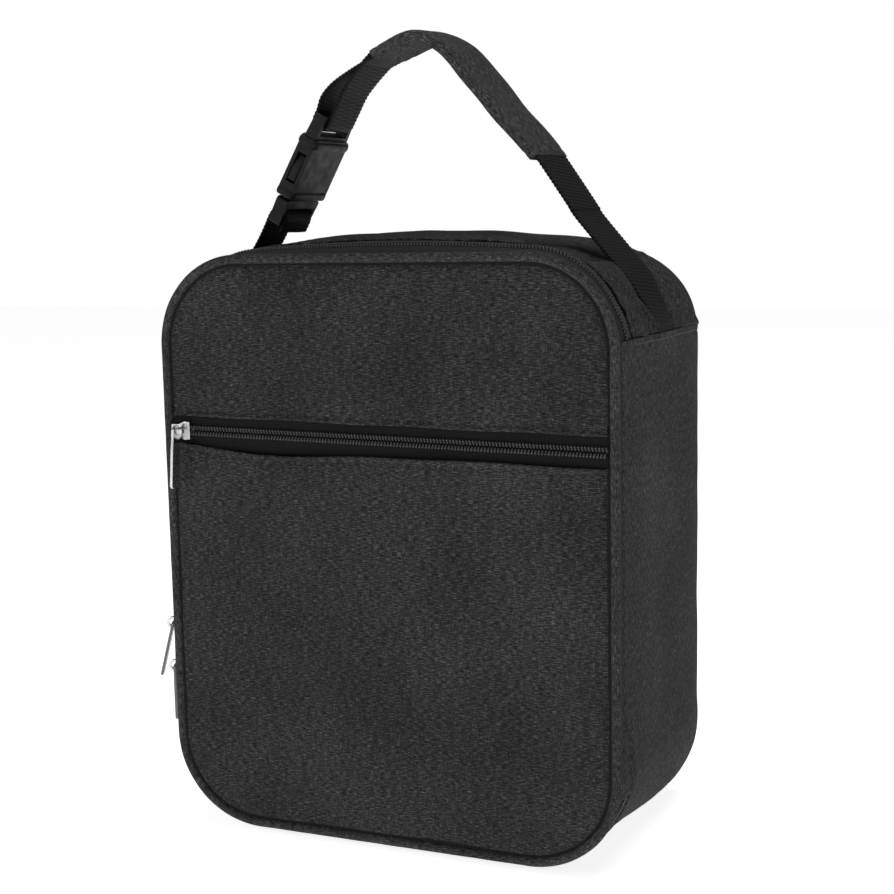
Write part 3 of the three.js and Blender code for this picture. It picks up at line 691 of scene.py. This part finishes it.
def lower_relief(s, d):
    """Relief of the side and base, with the turned edge that steps round the zipper's end."""
    hem = np.where(s < ZIP_END, edge_hem(d, GUSSET_START), edge_hem(s, ZIP_END) * (d < GUSSET_START))
    front_seam = np.where(s > ZIP_END, 1.9 * hump(d, 2.3, 2.2), 0)
    return side_relief(s, d) + hem - back_seam(d) - front_seam


def add_top_gusset():
    depths = spaced([GUSSET_START, 27, 110, WALL_END], [0.7, 1.7, 0.9])
    first, last = SEAM + SEAM_GAP, LEFT_TOP - SEAM - SEAM_GAP
    top = spaced([first, 60, LEFT_TOP - 60, last], [1.2, 2.2, 1.2])
    gusset = wall_cloth("top_gusset_cloth", top, depths, top_relief)
    finish_piece(gusset, "bag", HEATHER, ["top_gusset"])


def add_side_and_base():
    first, last = LEFT_TOP - SEAM + SEAM_GAP, ROUND + SEAM - SEAM_GAP
    stops = [first, LEFT_TOP + 12, ZIP_END - 8, ZIP_END + 8, ROUND - 12, last]
    around = spaced(stops, [0.8, 2.6, 1.0, 2.6, 0.8])
    depths = spaced([LID_TAPE[0], 8, GUSSET_START, 27, 112, WALL_END], [0.6, 1.3, 0.7, 2.0, 0.9])
    middle_s = (around[:-1] + around[1:]) / 2
    middle_d = (depths[:-1] + depths[1:]) / 2
    keep = (middle_d[None, :] > GUSSET_START - 0.1) | (middle_s[:, None] > ZIP_END)
    side = wall_cloth("side_and_base_cloth", around, depths, lower_relief, keep)
    side.data.materials.append(HEATHER)
    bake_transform(side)
    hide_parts("side_and_base_panel")


def add_side_stitches():
    """Topstitching along the upper hem of the side panel, on both sides."""
    starts = np.arange(22.0, DEPTH - 5, STITCH_PITCH)[None, :]
    for name, s in (("right", ROUND + SEAM - STITCH_INSET), ("left", LEFT_TOP - SEAM + STITCH_INSET)):
        around = np.array([s])
        ends = [slumped(surface(around, d, side_relief(around[:, None], d) + 0.1))[0]
                for d in (starts, starts + STITCH)]
        made = capsules(f"{name}_hem_stitches", *ends, 0.22)
        finish_piece(made, "bag", THREAD)


# ---------- flat panels ----------

def half_width(z, inset):
    """Half the width of the outline at heights z, inset by some millimetres."""
    top = np.clip(z - (TOP_Z - TOP_RADIUS), 0, TOP_RADIUS - inset)
    base = np.clip(BASE_Z + BASE_RADIUS - z, 0, BASE_RADIUS - inset)
    from_top = HALF - TOP_RADIUS + np.sqrt((TOP_RADIUS - inset) ** 2 - top ** 2)
    from_base = HALF - BASE_RADIUS + np.sqrt((BASE_RADIUS - inset) ** 2 - base ** 2)
    return np.minimum(from_top, from_base)


def edge_distance(x, z, inset):
    """How far a point lies inside the inset outline."""
    middle = (TOP_Z + BASE_Z) / 2
    radius = np.where(z > middle, TOP_RADIUS, BASE_RADIUS)
    across = np.abs(x) - (HALF - radius)
    up = np.abs(z - middle) - ((TOP_Z - BASE_Z) / 2 - radius)
    corner = np.hypot(np.maximum(across, 0), np.maximum(up, 0))
    return radius - inset - corner - np.minimum(np.maximum(across, up), 0)


def corner_heights(sense, inset, count=22):
    """Heights of rows round a panel's top (sense 1) or base (sense -1) corners."""
    radius = (TOP_RADIUS if sense > 0 else BASE_RADIUS) - inset
    middle = TOP_Z - TOP_RADIUS if sense > 0 else BASE_Z + BASE_RADIUS
    angle = np.linspace(0, math.pi / 2, count)
    return middle + sense * radius * np.sin(angle)


def spread(count):
    """Fractions from -1 to 1 that crowd towards both ends."""
    t = np.linspace(-1, 1, count)
    return np.sin(t * math.pi / 2) * 0.55 + t * 0.45


def panel_across(z, inset):
    """x of a panel's points, from their heights."""
    return spread(z.shape[1])[None, :] * half_width(z, inset)


def pillow(x, z, inset, rise, reach):
    """How far a foam backed panel stands out, dropping into the seam at its edge."""
    edge = np.maximum(edge_distance(x, z, inset), 0)
    crown = rise * (1 - np.exp(-edge / reach))
    return crown - 2.0 * np.exp(-edge / 1.2)


def lip(x, above):
    """Height of the edge of the front's cloth, above or below the pocket zipper."""
    middle = POCKET_Z + POCKET_SLOPE * x
    if above:
        return middle + POCKET_BAND / 2 + 0.25 * np.sin(x / 9.0) - 0.9 * np.exp(-(x + HALF) / 9)
    sag = 2.4 * hump(x, -52, 42) - 2.6 * np.exp(-(x + HALF) / 17)
    return middle - POCKET_BAND / 2 - sag - 0.2 * np.sin(x / 11.0)


PUCKER_PITCH = 2.9


def lip_relief(x, away):
    """The turned edge at the pocket zipper: a lip, then a stitched groove whose cloth puckers."""
    pucker = 0.62 + 0.38 * np.cos(2 * math.pi * x / PUCKER_PITCH + 0.6 * np.sin(x / 7))
    return 0.5 * hump(away, 0.8, 1.0) - 0.42 * pucker * hump(away, 2.7, 0.9)


def front_points(x, z, above):
    away = (z - lip(x, above)) * (1 if above else -1)
    out = pillow(x, z, PANEL_INSET, 1.5, 20) + 0.28 * ripple(x, z, 46, 0.9)
    out = out + lip_relief(x, np.maximum(away, 0))
    return np.stack([x, FRONT + PANEL_FACE - out, z], -1)


def add_front_panels():
    columns = 120
    top = corner_heights(1, PANEL_INSET)
    share = np.concatenate([np.linspace(0, 0.14, 12)[:-1], np.linspace(0.14, 1, 14)])
    x = spread(columns)[None, :] * (HALF - PANEL_INSET)
    straight = lip(x, True) + share[:, None] * (top[0] - lip(x, True))
    heights = np.concatenate([straight, np.broadcast_to(top[1:, None], (len(top) - 1, columns))])
    add_front_panel("upper_front_cloth", heights, True, "upper_front_panel")

    base = corner_heights(-1, PANEL_INSET)[::-1]
    share = np.concatenate([np.linspace(0, 0.96, 60)[:-1], np.linspace(0.96, 1, 12)])
    straight = base[-1] + share[:, None] * (lip(x, False) - base[-1])
    heights = np.concatenate([np.broadcast_to(base[:-1, None], (len(base) - 1, columns)), straight])
    add_front_panel("lower_front_cloth", heights, False, "lower_front_panel")


def add_front_panel(name, z, above, node):
    x = panel_across(z, PANEL_INSET)
    made = cloth(name, front_points(x, z, above), np.stack([x, z], -1))
    finish_piece(made, "lid", HEATHER, [node])


def plain_panel(name, inset, shape, thickness=FABRIC):
    """A panel inside the whole outline. shape(x, z) gives its y."""
    top, base = corner_heights(1, inset, 16), corner_heights(-1, inset, 16)[::-1]
    straight = np.linspace(base[-1], top[0], 60)[1:-1]
    z = np.concatenate([base, straight, top])[:, None] * np.ones((1, 90))
    x = panel_across(z, inset)
    return cloth(name, np.stack([x, shape(x, z), z], -1), np.stack([x, z], -1), thickness)


def add_back_panel():
    def shape(x, z):
        return BACK - 1.1 + pillow(x, z, 0.2, 1.9, 16) + 0.4 * ripple(x, z, 44, 2.2)

    made = plain_panel("back_cloth", 0.2, shape)
    finish_piece(made, "bag", HEATHER, ["back_panel"])


# ---------- bands round the outline ----------

def outline_ring(s, section, name):
    """A closed piece round the outline. Its section is [out, depth] pairs."""
    rows = outline(s)
    outward = upright(rows[:, 2:])
    back = np.broadcast_to(np.array([0.0, 1.0, 0.0]), outward.shape)
    return tube(name, upright(rows, FRONT), outward, back, section, ring=True)


def raised(section, s, d):
    """A ring's section at distances s, moved out by the walls' swell at depth d."""
    level = swell_at(outline(s), d)
    return section[None] + np.stack([level, 0 * level], 1)[:, None]


def add_piping():
    s = np.linspace(0, ROUND, 640, endpoint=False)
    wobble = 1 + 0.02 * np.sin(s / 3.1) * np.sin(s / 17.0)
    section = circle(PIPING_RADIUS + 0.1, 18)[None] * wobble[:, None, None]
    made = outline_ring(s, section, "front_piping_cloth")
    finish_piece(made, "lid", PIPED, ["front_piping"])

    # Black bands shaped as the piping's seam allowance, laid in the grooves on both sides of it as painted
    # shade for those grooves.
    inner = outline_ring(s, rounded_box(-4.2, -1.6, -0.45, 0.9, 0.3), "piping_inner_groove_shade")
    finish_piece(inner, "lid", BINDING)
    section = raised(rounded_box(-1.4, 0.9, 2.6, 5.4, 0.4), s, 2.6)
    finish_piece(outline_ring(s, section, "piping_outer_groove_shade"), "lid", BINDING)


def rounded_box(low_out, high_out, low_depth, high_depth, corner):
    half = (high_depth - low_depth) / 2
    section = rounded_section(low_out, high_out, half, corner, steps=3, across=4)
    return section + np.array([0, low_depth + half])


def add_bindings():
    s = np.linspace(0, ROUND, 360, endpoint=False)
    inner = outline_ring(s, rounded_box(-2.9, -1.3, 2.2, 8.8, 0.7), "lid_binding_cloth")
    finish_piece(inner, "lid", BINDING, ["lid_seam_binding"])
    section = raised(rounded_box(-7.2, -1.4, 18.2, 21.4, 1.3), s, 19.0)
    rim = outline_ring(s, section, "opening_binding_cloth")
    finish_piece(rim, "bag", BINDING, ["opening_binding"])


# ---------- zippers ----------

TOOTH_PITCH = 1.5
TOOTH = 0.42
STITCHED = (-0.55, 0.4)  # a thread's two ends along the chain, from its tooth
THREAD_RADIUS = 0.17


def teeth_places(first, last, sense):
    """Distances of one half's teeth along its chain. The two halves alternate."""
    return np.arange(first, last, TOOTH_PITCH) + (0.5 * TOOTH_PITCH if sense > 0 else 0)


def zip_band(name, depths, drop, body, node):
    s = spaced([SEAM - 1.5, ZIP_END + 1.5], [1.4])
    s_grid, d_grid = s[:, None], depths[None, :]
    groove = 1.9 * hump(d_grid, 1.4, 2.6)
    points = surface(s, d_grid, 0.1 * ripple(s_grid, d_grid, 20, 1.9) - drop - groove)
    made = cloth(name, points, weave_grid(s, depths), FILM)
    finish_piece(made, body, GUSSET_TAPE, [node])


def main_teeth(name, side, body, node):
    """Half of the main chain: bars that lean into the other half, and the thread that sews them on."""
    s = teeth_places(SEAM + 0.8, ZIP_END - 0.8, side)

    def place(shift, across, out):
        depth = CHAIN_MIDDLE + side * across
        rows = outline(s + shift)
        level = swell_at(rows, depth) + out
        return upright(rows[:, :2] + level[:, None] * rows[:, 2:], FRONT + depth)

    bow = 0.35 * upright(outline(s)[:, 2:])
    bars = capsules(name, place(0.42, 0.15, -0.2), place(-0.42, 2.35, -0.35), TOOTH, 0.5, bow)
    finish_piece(bars, body, COIL, [node])
    ends = [place(shift, 1.55, 0.42) for shift in STITCHED]
    seams = capsules(name.replace("teeth", "thread"), *ends, THREAD_RADIUS)
    finish_piece(seams, body, THREAD)


def add_main_zipper():
    zip_band("lid_tape_cloth", np.array([1.4, 2.2, 3.2, 5, 7.5, 10, 11.8, 13.1]), 0.35, "lid", "lid_zip_tape")
    zip_band("body_tape_cloth", np.array([14.0, 15.2, 16.5, 18, 20.5]), 0.45, "bag", "body_zip_tape")
    main_teeth("lid_teeth", -1, "lid", "lid_zip_coil")
    main_teeth("body_teeth", 1, "bag", "body_zip_coil")


def pocket_tape(name, sense, reach):
    x = np.linspace(-reach, reach, 150)
    offsets = np.array([0.75, 2, 4, 6, 7.6, 10.5]) * sense
    z = POCKET_Z + POCKET_SLOPE * x[:, None] + offsets[None, :]
    y = FRONT - 0.55 + 0.12 * ripple(x[:, None], z, 22, 1.1)
    points = np.stack([np.broadcast_to(x[:, None], z.shape), y, z], -1)
    weave = weave_grid(x, offsets)
    tape = cloth(f"pocket_{name}_tape_cloth", points, weave, 0.45, inside=(0, 60, 130))
    finish_piece(tape, "lid", POCKET_TAPE, [f"pocket_tape_{name}"])


def pocket_teeth(name, sense, reach):
    x = teeth_places(-reach + 0.6, reach - 0.6, sense)
    middle = POCKET_Z + POCKET_SLOPE * x

    def place(shift, across, out):
        return upright(np.stack([x + shift, middle + sense * across], 1), FRONT + PANEL_FACE - out)

    bow = np.tile([0.0, -0.3, 0.0], (len(x), 1))
    starts, ends = place(0.28, 0.15, 0.25), place(-0.28, 2.45, 0.1)
    bars = capsules(f"pocket_{name}_teeth", starts, ends, TOOTH, 0.5, bow)
    finish_piece(bars, "lid", COIL, [f"pocket_coil_{name}"])
    ends = [place(shift, 1.75, 0.86) for shift in STITCHED]
    seams = capsules(f"pocket_{name}_thread", *ends, THREAD_RADIUS)
    finish_piece(seams, "lid", THREAD)


def add_pocket_zipper():
    reach = HALF - PANEL_INSET - 0.4
    for name, sense in (("upper", 1), ("lower", -1)):
        pocket_tape(name, sense, reach)
        pocket_teeth(name, sense, reach)


# ---------- hard pieces ----------

def bevelled(node, name, width, material, body):
    """A finer copy of a hard node: its flat faces made whole, and its edges rounded."""
    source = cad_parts[node]
    made = source.copy()
    made.data = source.data.copy()
    made.name = name
    for key in list(made.keys()):
        del made[key]
    made.parent = None
    bpy.context.scene.collection.objects.link(made)
    edit_mesh(made.data, merge_flat_faces)
    rounding = made.modifiers.new("rounding", "BEVEL")
    rounding.width = width * MM
    rounding.segments = 3
    rounding.limit_method = "ANGLE"
    rounding.angle_limit = math.radians(28)
    rounding.use_clamp_overlap = True
    made.data.polygons.foreach_set("use_smooth", [True] * len(made.data.polygons))
    made.modifiers.new("normals", "WEIGHTED_NORMAL")
    bake_modifiers(made)
    finish_piece(made, body, material, [node])


def add_hard_pieces():
    for which in ("upper", "lower"):
        bevelled(f"{which}_slider", f"{which}_slider_body", 0.22, CHROME, f"{which}_slider")
        bevelled(f"{which}_slider_pull", f"{which}_pull_plate", 0.28, GUNMETAL, f"{which}_pull")
    bevelled("pocket_slider", "pocket_slider_body", 0.22, CHROME, "pocket_slider")
    bevelled("pocket_slider_pull", "pocket_pull_plate", 0.28, CHROME, "pocket_pull")
    bevelled("buckle_male", "buckle_male_shell", 0.7, PLASTIC, "handle_base")
    bevelled("buckle_female", "buckle_female_shell", 0.6, PLASTIC, "handle_arc")
    for side in ("front", "rear"):
        arm = f"buckle_{side}_prong_arm"
        bevelled(f"buckle_prong_{side}", arm, 0.5, PLASTIC, f"prong_{side}")


# The buckle's own frame: along its length, across its thickness towards the hand's side, and y for its width.
BUCKLE_PLACE = np.array([-75.3, 0.0, 279.3])
BUCKLE_LEAN = math.radians(29.3)
ALONG = np.array([math.sin(BUCKLE_LEAN), 0, math.cos(BUCKLE_LEAN)])
ACROSS = np.array([math.cos(BUCKLE_LEAN), 0, -math.sin(BUCKLE_LEAN)])


def from_buckle(across, along):
    place = BUCKLE_PLACE + along * ALONG + across * ACROSS
    return (place[0], place[2])


def add_buckle_rims():
    """Raised rims round the female half: one at its mouth and one below its slot."""
    rims = (("mouth", 16.2, 4.55, 16.6), ("shoulder", 42.2, 4.75, 16.7))
    for name, along, half_across, half_wide in rims:
        loop = rounded_section(-half_across, half_across, half_wide, 2.2, steps=6, across=6)
        middle = BUCKLE_PLACE + along * ALONG
        centres = middle[None] + loop[:, :1] * ACROSS + loop[:, 1:] * np.array([0, 1.0, 0])
        tangent = np.roll(centres, -1, 0) - np.roll(centres, 1, 0)
        tangent /= np.linalg.norm(tangent, axis=1, keepdims=True)
        side = np.cross(tangent, ALONG)
        rim = tube(f"buckle_{name}_rim", centres, side, np.broadcast_to(ALONG, side.shape),
                   circle(1.0, 10) * np.array([0.75, 1.9]), ring=True)
        finish_piece(rim, "handle_arc", PLASTIC)


# ---------- webbing and grip ----------

HANDLE_LINE = [
    (73.5, 281.9), (63.3, 296.7), (55, 308.4), (46.4, 317.8), (37.5, 327.8), (19.3, 349.6), (11.6, 356.6),
    (3.4, 361), (-1.6, 361.2), (-13.1, 357.3), (-25.6, 351.4), (-37.3, 341.3),
]
GRIP = (0.19, 0.86)
LAYER = 0.95
RIGHT_ANCHOR = [
    (109.6, 225.5), (110.1, 229.8), (107, 238), (102.6, 245.7), (99.6, 251.6), (86.8, 267), (75, 281),
    (73.4, 283.4),
]
LEFT_ANCHOR = [
    (-109.6, 225.5), (-110.1, 229.8), (-107, 238), (-102.6, 245.7), (-97.1, 254.9), (-92.3, 260.6),
    (-84.5, 271.6),
]
BAR = 3.4
FEMALE_TOP = 56.0
TWIST = math.radians(12)
STRAP_STEP = 0.48  # from ring to ring of a strap's mesh
GRIP_HALF = (2.3, 14.1)  # the sleeve's thickness and width, halved


def between(t, start, end, a, b):
    """The point at t on the line from a at start to b at end."""
    return (end - t) / (end - start) * a + (t - start) / (end - start) * b


def curve_through(points):
    """Places on a centripetal Catmull-Rom curve through the points, close together."""
    points = np.array(points, float)
    ends = np.concatenate([[2 * points[0] - points[1]], points, [2 * points[-1] - points[-2]]])
    placed = []
    for p0, p1, p2, p3 in zip(ends, ends[1:], ends[2:], ends[3:]):
        t1 = np.linalg.norm(p1 - p0) ** 0.5
        t2 = t1 + np.linalg.norm(p2 - p1) ** 0.5
        t3 = t2 + np.linalg.norm(p3 - p2) ** 0.5
        t = np.linspace(t1, t2, 60, endpoint=False)[:, None]
        a1, a2, a3 = between(t, 0, t1, p0, p1), between(t, t1, t2, p1, p2), between(t, t2, t3, p2, p3)
        b1, b2 = between(t, 0, t2, a1, a2), between(t, t1, t3, a2, a3)
        placed.append(between(t, t1, t2, b1, b2))
    return np.concatenate([*placed, points[-1:]])


def evenly(line, start=0.0, end=1.0, spacing=STRAP_STEP):
    """Places on a dense line, evenly spaced, between two shares of its length."""
    steps = travelled(line)
    length = steps[-1]
    count = max(4, int(abs(end - start) * length / spacing))
    at = np.linspace(start, end, count) * length
    return np.stack([np.interp(at, steps, line[:, 0]), np.interp(at, steps, line[:, 1])], 1)


def directions(line):
    tangent = np.gradient(line, axis=0)
    tangent /= np.linalg.norm(tangent, axis=1, keepdims=True)
    return np.stack([tangent[:, 1], -tangent[:, 0]], 1)


def shifted(line, distance):
    return line + distance * directions(line)


def twisted(line):
    """Which way the webbing's width points: along y at both ends of the arc, and turned between them."""
    angle = TWIST * (smoothstep(line[:, 1], 232, 258) * smoothstep(line[:, 0], -48, -12))
    return np.stack([np.sin(angle), np.cos(angle), np.zeros(len(line))], 1)


def band(name, line, thick, width):
    """A strip along a line in the XZ plane, from its section's thicknesses and widths at each place."""
    section = np.stack([thick, width], -1)
    return tube(name, upright(line), upright(directions(line)), twisted(line), section)


def strap(name, line):
    """Webbing along a line, with ribs across it and slightly uneven edges."""
    base = rounded_section(-WEBBING / 2, WEBBING / 2, WEBBING_HALF, 0.6, steps=3, across=9)
    along = travelled(line)[:, None]
    rib = np.sin(2 * math.pi * (along + RIB_SLANT * base[None, :, 1]) / RIB)
    thick = base[None, :, 0] * (1 + 0.16 * rib) + 0.08 * np.sin(along / 11.0)
    width = base[None, :, 1] * (1 + 0.010 * rib + 0.006 * np.sin(along / 13.0))
    return band(name, line, thick, width)


def turn_round(thickness, centre, sense, steps=24):
    """A turn of webbing round one of the buckle's bars, from the hand's side outwards."""
    radius = thickness + 0.3 + WEBBING / 2
    angle = np.linspace(0, math.pi, steps)
    return np.array([from_buckle(radius * math.cos(a), centre + sense * radius * math.sin(a)) for a in angle])


def handle_path():
    line = curve_through(HANDLE_LINE)
    run = shifted(evenly(line, 0, GRIP[1], 0.5), LAYER)
    tail = shifted(evenly(line, GRIP[1], GRIP[1] - 0.06, 0.5), LAYER)
    inner = curve_through([*run[[-30, -15, -1]], from_buckle(4.2, 71), from_buckle(4, 60)])
    turn = turn_round(3.0, FEMALE_TOP - BAR + 0.6, -1)
    behind = [from_buckle(-4, 57), from_buckle(-4.8, 63), from_buckle(-2.4, 71)]
    outer = curve_through([*behind, *tail[[0, 12, -1]]])
    whole = np.concatenate([run[:-30], inner, turn, outer])
    keep = np.concatenate([[True], np.linalg.norm(np.diff(whole, axis=0), axis=1) > 0.02])
    return line, evenly(whole[keep])


def add_grip(line):
    middle = evenly(line, GRIP[0], GRIP[1], 1.0)
    along = np.arange(len(middle)) * 1.0
    half_thick, half_wide = GRIP_HALF
    base = rounded_section(-half_thick, half_thick, half_wide, 1.6, steps=5, across=12)
    ends = np.minimum(along, along[-1] - along)
    puff = 0.80 + 0.2 * (1 - np.exp(-ends / 6.0)) - 0.12 * hump(ends, 3.6, 0.8)
    bulge = 1 + 0.10 * (1 - (base[:, 1] / half_wide) ** 2)
    uneven = 0.35 * ripple(along[:, None], base[None, :, 1], 19, 1.4)
    loose = (1 - np.exp(-ends / 8))[:, None]
    thick = base[None, :, 0] * puff[:, None] * bulge[None, :] + uneven * loose
    width = base[None, :, 1] * (1 + 0.012 * np.sin(along / 9.0))[:, None]
    made = band("grip_sleeve_cloth", middle, thick, width)
    finish_piece(made, "handle_arc", GRIP_CLOTH, ["grip_sleeve"])


def add_handle():
    line, path = handle_path()
    finish_piece(strap("handle_webbing_strap", path), "handle_arc", STRAP, ["handle_webbing"])
    add_grip(line)

    turn = turn_round(3.2, 2.6, 1)
    lower = from_buckle(-4.2, -1.5)
    loop = np.concatenate([[from_buckle(4.2, -2.4), from_buckle(4.2, -0.5)], turn, [lower]])
    around_bar = strap("left_loop_strap", evenly(loop))
    finish_piece(around_bar, "handle_base", STRAP, ["left_loop_webbing"])

    right = evenly(curve_through(RIGHT_ANCHOR))
    left = evenly(curve_through([*LEFT_ANCHOR, from_buckle(-4.2, -0.3)]))
    for side, route in (("right", right), ("left", left)):
        made = strap(f"{side}_anchor_strap", route)
        made.data.materials.append(STRAP)
        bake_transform(made)
        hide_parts(f"{side}_anchor_webbing")


# ---------- inside ----------

# How far the linings lie inside the walls, the back and the lid, and between which depths the walls' runs.
WALL_LINING = 6.1
BACK_LINING = 6.6
LID_LINING = 6.9
LID_LINING_INSET = 3.2
LINING_DEPTHS = (20.2, 116.4)


def add_linings():
    s = np.linspace(0, ROUND, 340, endpoint=False)
    depths = np.linspace(*LINING_DEPTHS, 48)
    s_grid, d_grid = s[:, None], depths[None, :]
    crinkle = 0.35 * ripple(s_grid, d_grid, 12, 0.7) + 0.45 * ripple(s_grid, d_grid, 31, 1.9)
    points = surface(s, d_grid, -WALL_LINING + np.minimum(crinkle, 0.3))
    wall = cloth("wall_lining_film", points, weave_grid(s, depths), FILM, ring=True)
    finish_piece(wall, "bag", FOIL, ["wall_lining", "wall_foam"])

    def back_shape(x, z):
        return BACK - BACK_LINING + 0.3 * ripple(x, z, 13, 0.4) + 0.4 * ripple(x, z, 33, 1.2)

    back = plain_panel("back_lining_film", 3.4, back_shape, FILM)
    finish_piece(back, "bag", FOIL, ["back_lining", "back_foam"])

    def lid_shape(x, z):
        edge = np.maximum(edge_distance(x, z, LID_LINING_INSET), 0)
        crinkle = 0.25 * ripple(x, z, 12, 1.0) + 0.3 * ripple(x, z, 30, 0.3)
        return FRONT + LID_LINING - 1.2 * np.exp(-edge / 5) + crinkle

    lid = plain_panel("lid_lining_film", LID_LINING_INSET, lid_shape, FILM)
    finish_piece(lid, "lid", FOIL, ["lid_lining", "lid_foam"])

    def pocket_shape(x, z):
        return FRONT + 1.5 + 0.2 * ripple(x, z, 24, 0.8)

    pocket = plain_panel("pocket_lining_cloth", 3.0, pocket_shape, 0.4)
    finish_piece(pocket, "lid", BINDING, ["pocket_lining"])


# ---------- stage ----------

CAMERA_PLACE = (0.29686, -0.68142, 0.28004)
CAMERA_AZIMUTH = math.radians(23.17)
CAMERA_ELEVATION = math.radians(8.13)
CAMERA_ROLL = math.radians(1.116)
LENS = 64.43
WORLD_LIGHT = 0.15  # the camera sees a white world, at strength 1
FLOOR_GLOW = 0.84
LIT_PLACE = (0, 0, 0.16)


def add_camera():
    a, e = CAMERA_AZIMUTH, CAMERA_ELEVATION
    back = Vector((math.sin(a) * math.cos(e), -math.cos(a) * math.cos(e), math.sin(e)))
    right = Vector((math.cos(a), math.sin(a), 0))
    up = right.cross(-back)
    turned_right = math.cos(CAMERA_ROLL) * right - math.sin(CAMERA_ROLL) * up
    turned_up = math.sin(CAMERA_ROLL) * right + math.cos(CAMERA_ROLL) * up
    data = bpy.data.cameras.new("camera")
    data.lens = LENS
    data.sensor_width = 36
    camera = bpy.data.objects.new("camera", data)
    bpy.context.scene.collection.objects.link(camera)
    axes = Matrix((turned_right, turned_up, back)).transposed().to_4x4()
    camera.matrix_world = Matrix.Translation(CAMERA_PLACE) @ axes
    bpy.context.scene.camera = camera


def add_light(name, place, size, power):
    data = bpy.data.lights.new(name, "AREA")
    data.shape = "DISK"
    data.size = size
    data.energy = power
    light = bpy.data.objects.new(name, data)
    light.location = place
    light.rotation_euler = (Vector(LIT_PLACE) - Vector(place)).to_track_quat("-Z", "Y").to_euler()
    bpy.context.scene.collection.objects.link(light)


def add_stage():
    world = bpy.data.worlds.new("studio")
    world.use_nodes = True
    seen = add_node(world.node_tree, "ShaderNodeLightPath").outputs["Is Camera Ray"]
    strength = maths(world.node_tree, "MULTIPLY_ADD", seen, 1 - WORLD_LIGHT, WORLD_LIGHT)
    background = world.node_tree.nodes["Background"]
    background.inputs["Color"].default_value = (1, 1, 1, 1)
    world.node_tree.links.new(strength, background.inputs["Strength"])
    bpy.context.scene.world = world
    bpy.context.scene.view_settings.view_transform = "Standard"
    bpy.ops.mesh.primitive_plane_add(size=8, location=(0, 0, -0.0005))
    floor = bpy.context.object
    floor.name = "floor"
    made, tree, shader = new_material("floor_paper", 0.8)
    place = solid_place(tree)
    paper = noise(tree, place, (3, 3, 3), 1.0, 3.0)
    vary_colour(tree, shader, paper, [(0.3, grey(0.86)), (0.7, grey(0.9))])
    shader.inputs["Emission Color"].default_value = (1, 1, 1, 1)
    shader.inputs["Emission Strength"].default_value = FLOOR_GLOW
    floor.data.materials.append(made)
    add_light("top_light", (0.1, 0.25, 1.5), 1.3, 10.5)
    add_light("key_light", (-0.9, -1.3, 0.9), 1.0, 4.8)
    add_light("fill_light", (1.6, -0.6, 0.7), 1.2, 0.1)


add_camera()
add_stage()
add_top_gusset()
add_side_and_base()
add_side_stitches()
add_front_panels()
add_back_panel()
add_piping()
add_bindings()
add_main_zipper()
add_pocket_zipper()
add_hard_pieces()
add_buckle_rims()
add_handle()
add_linings()
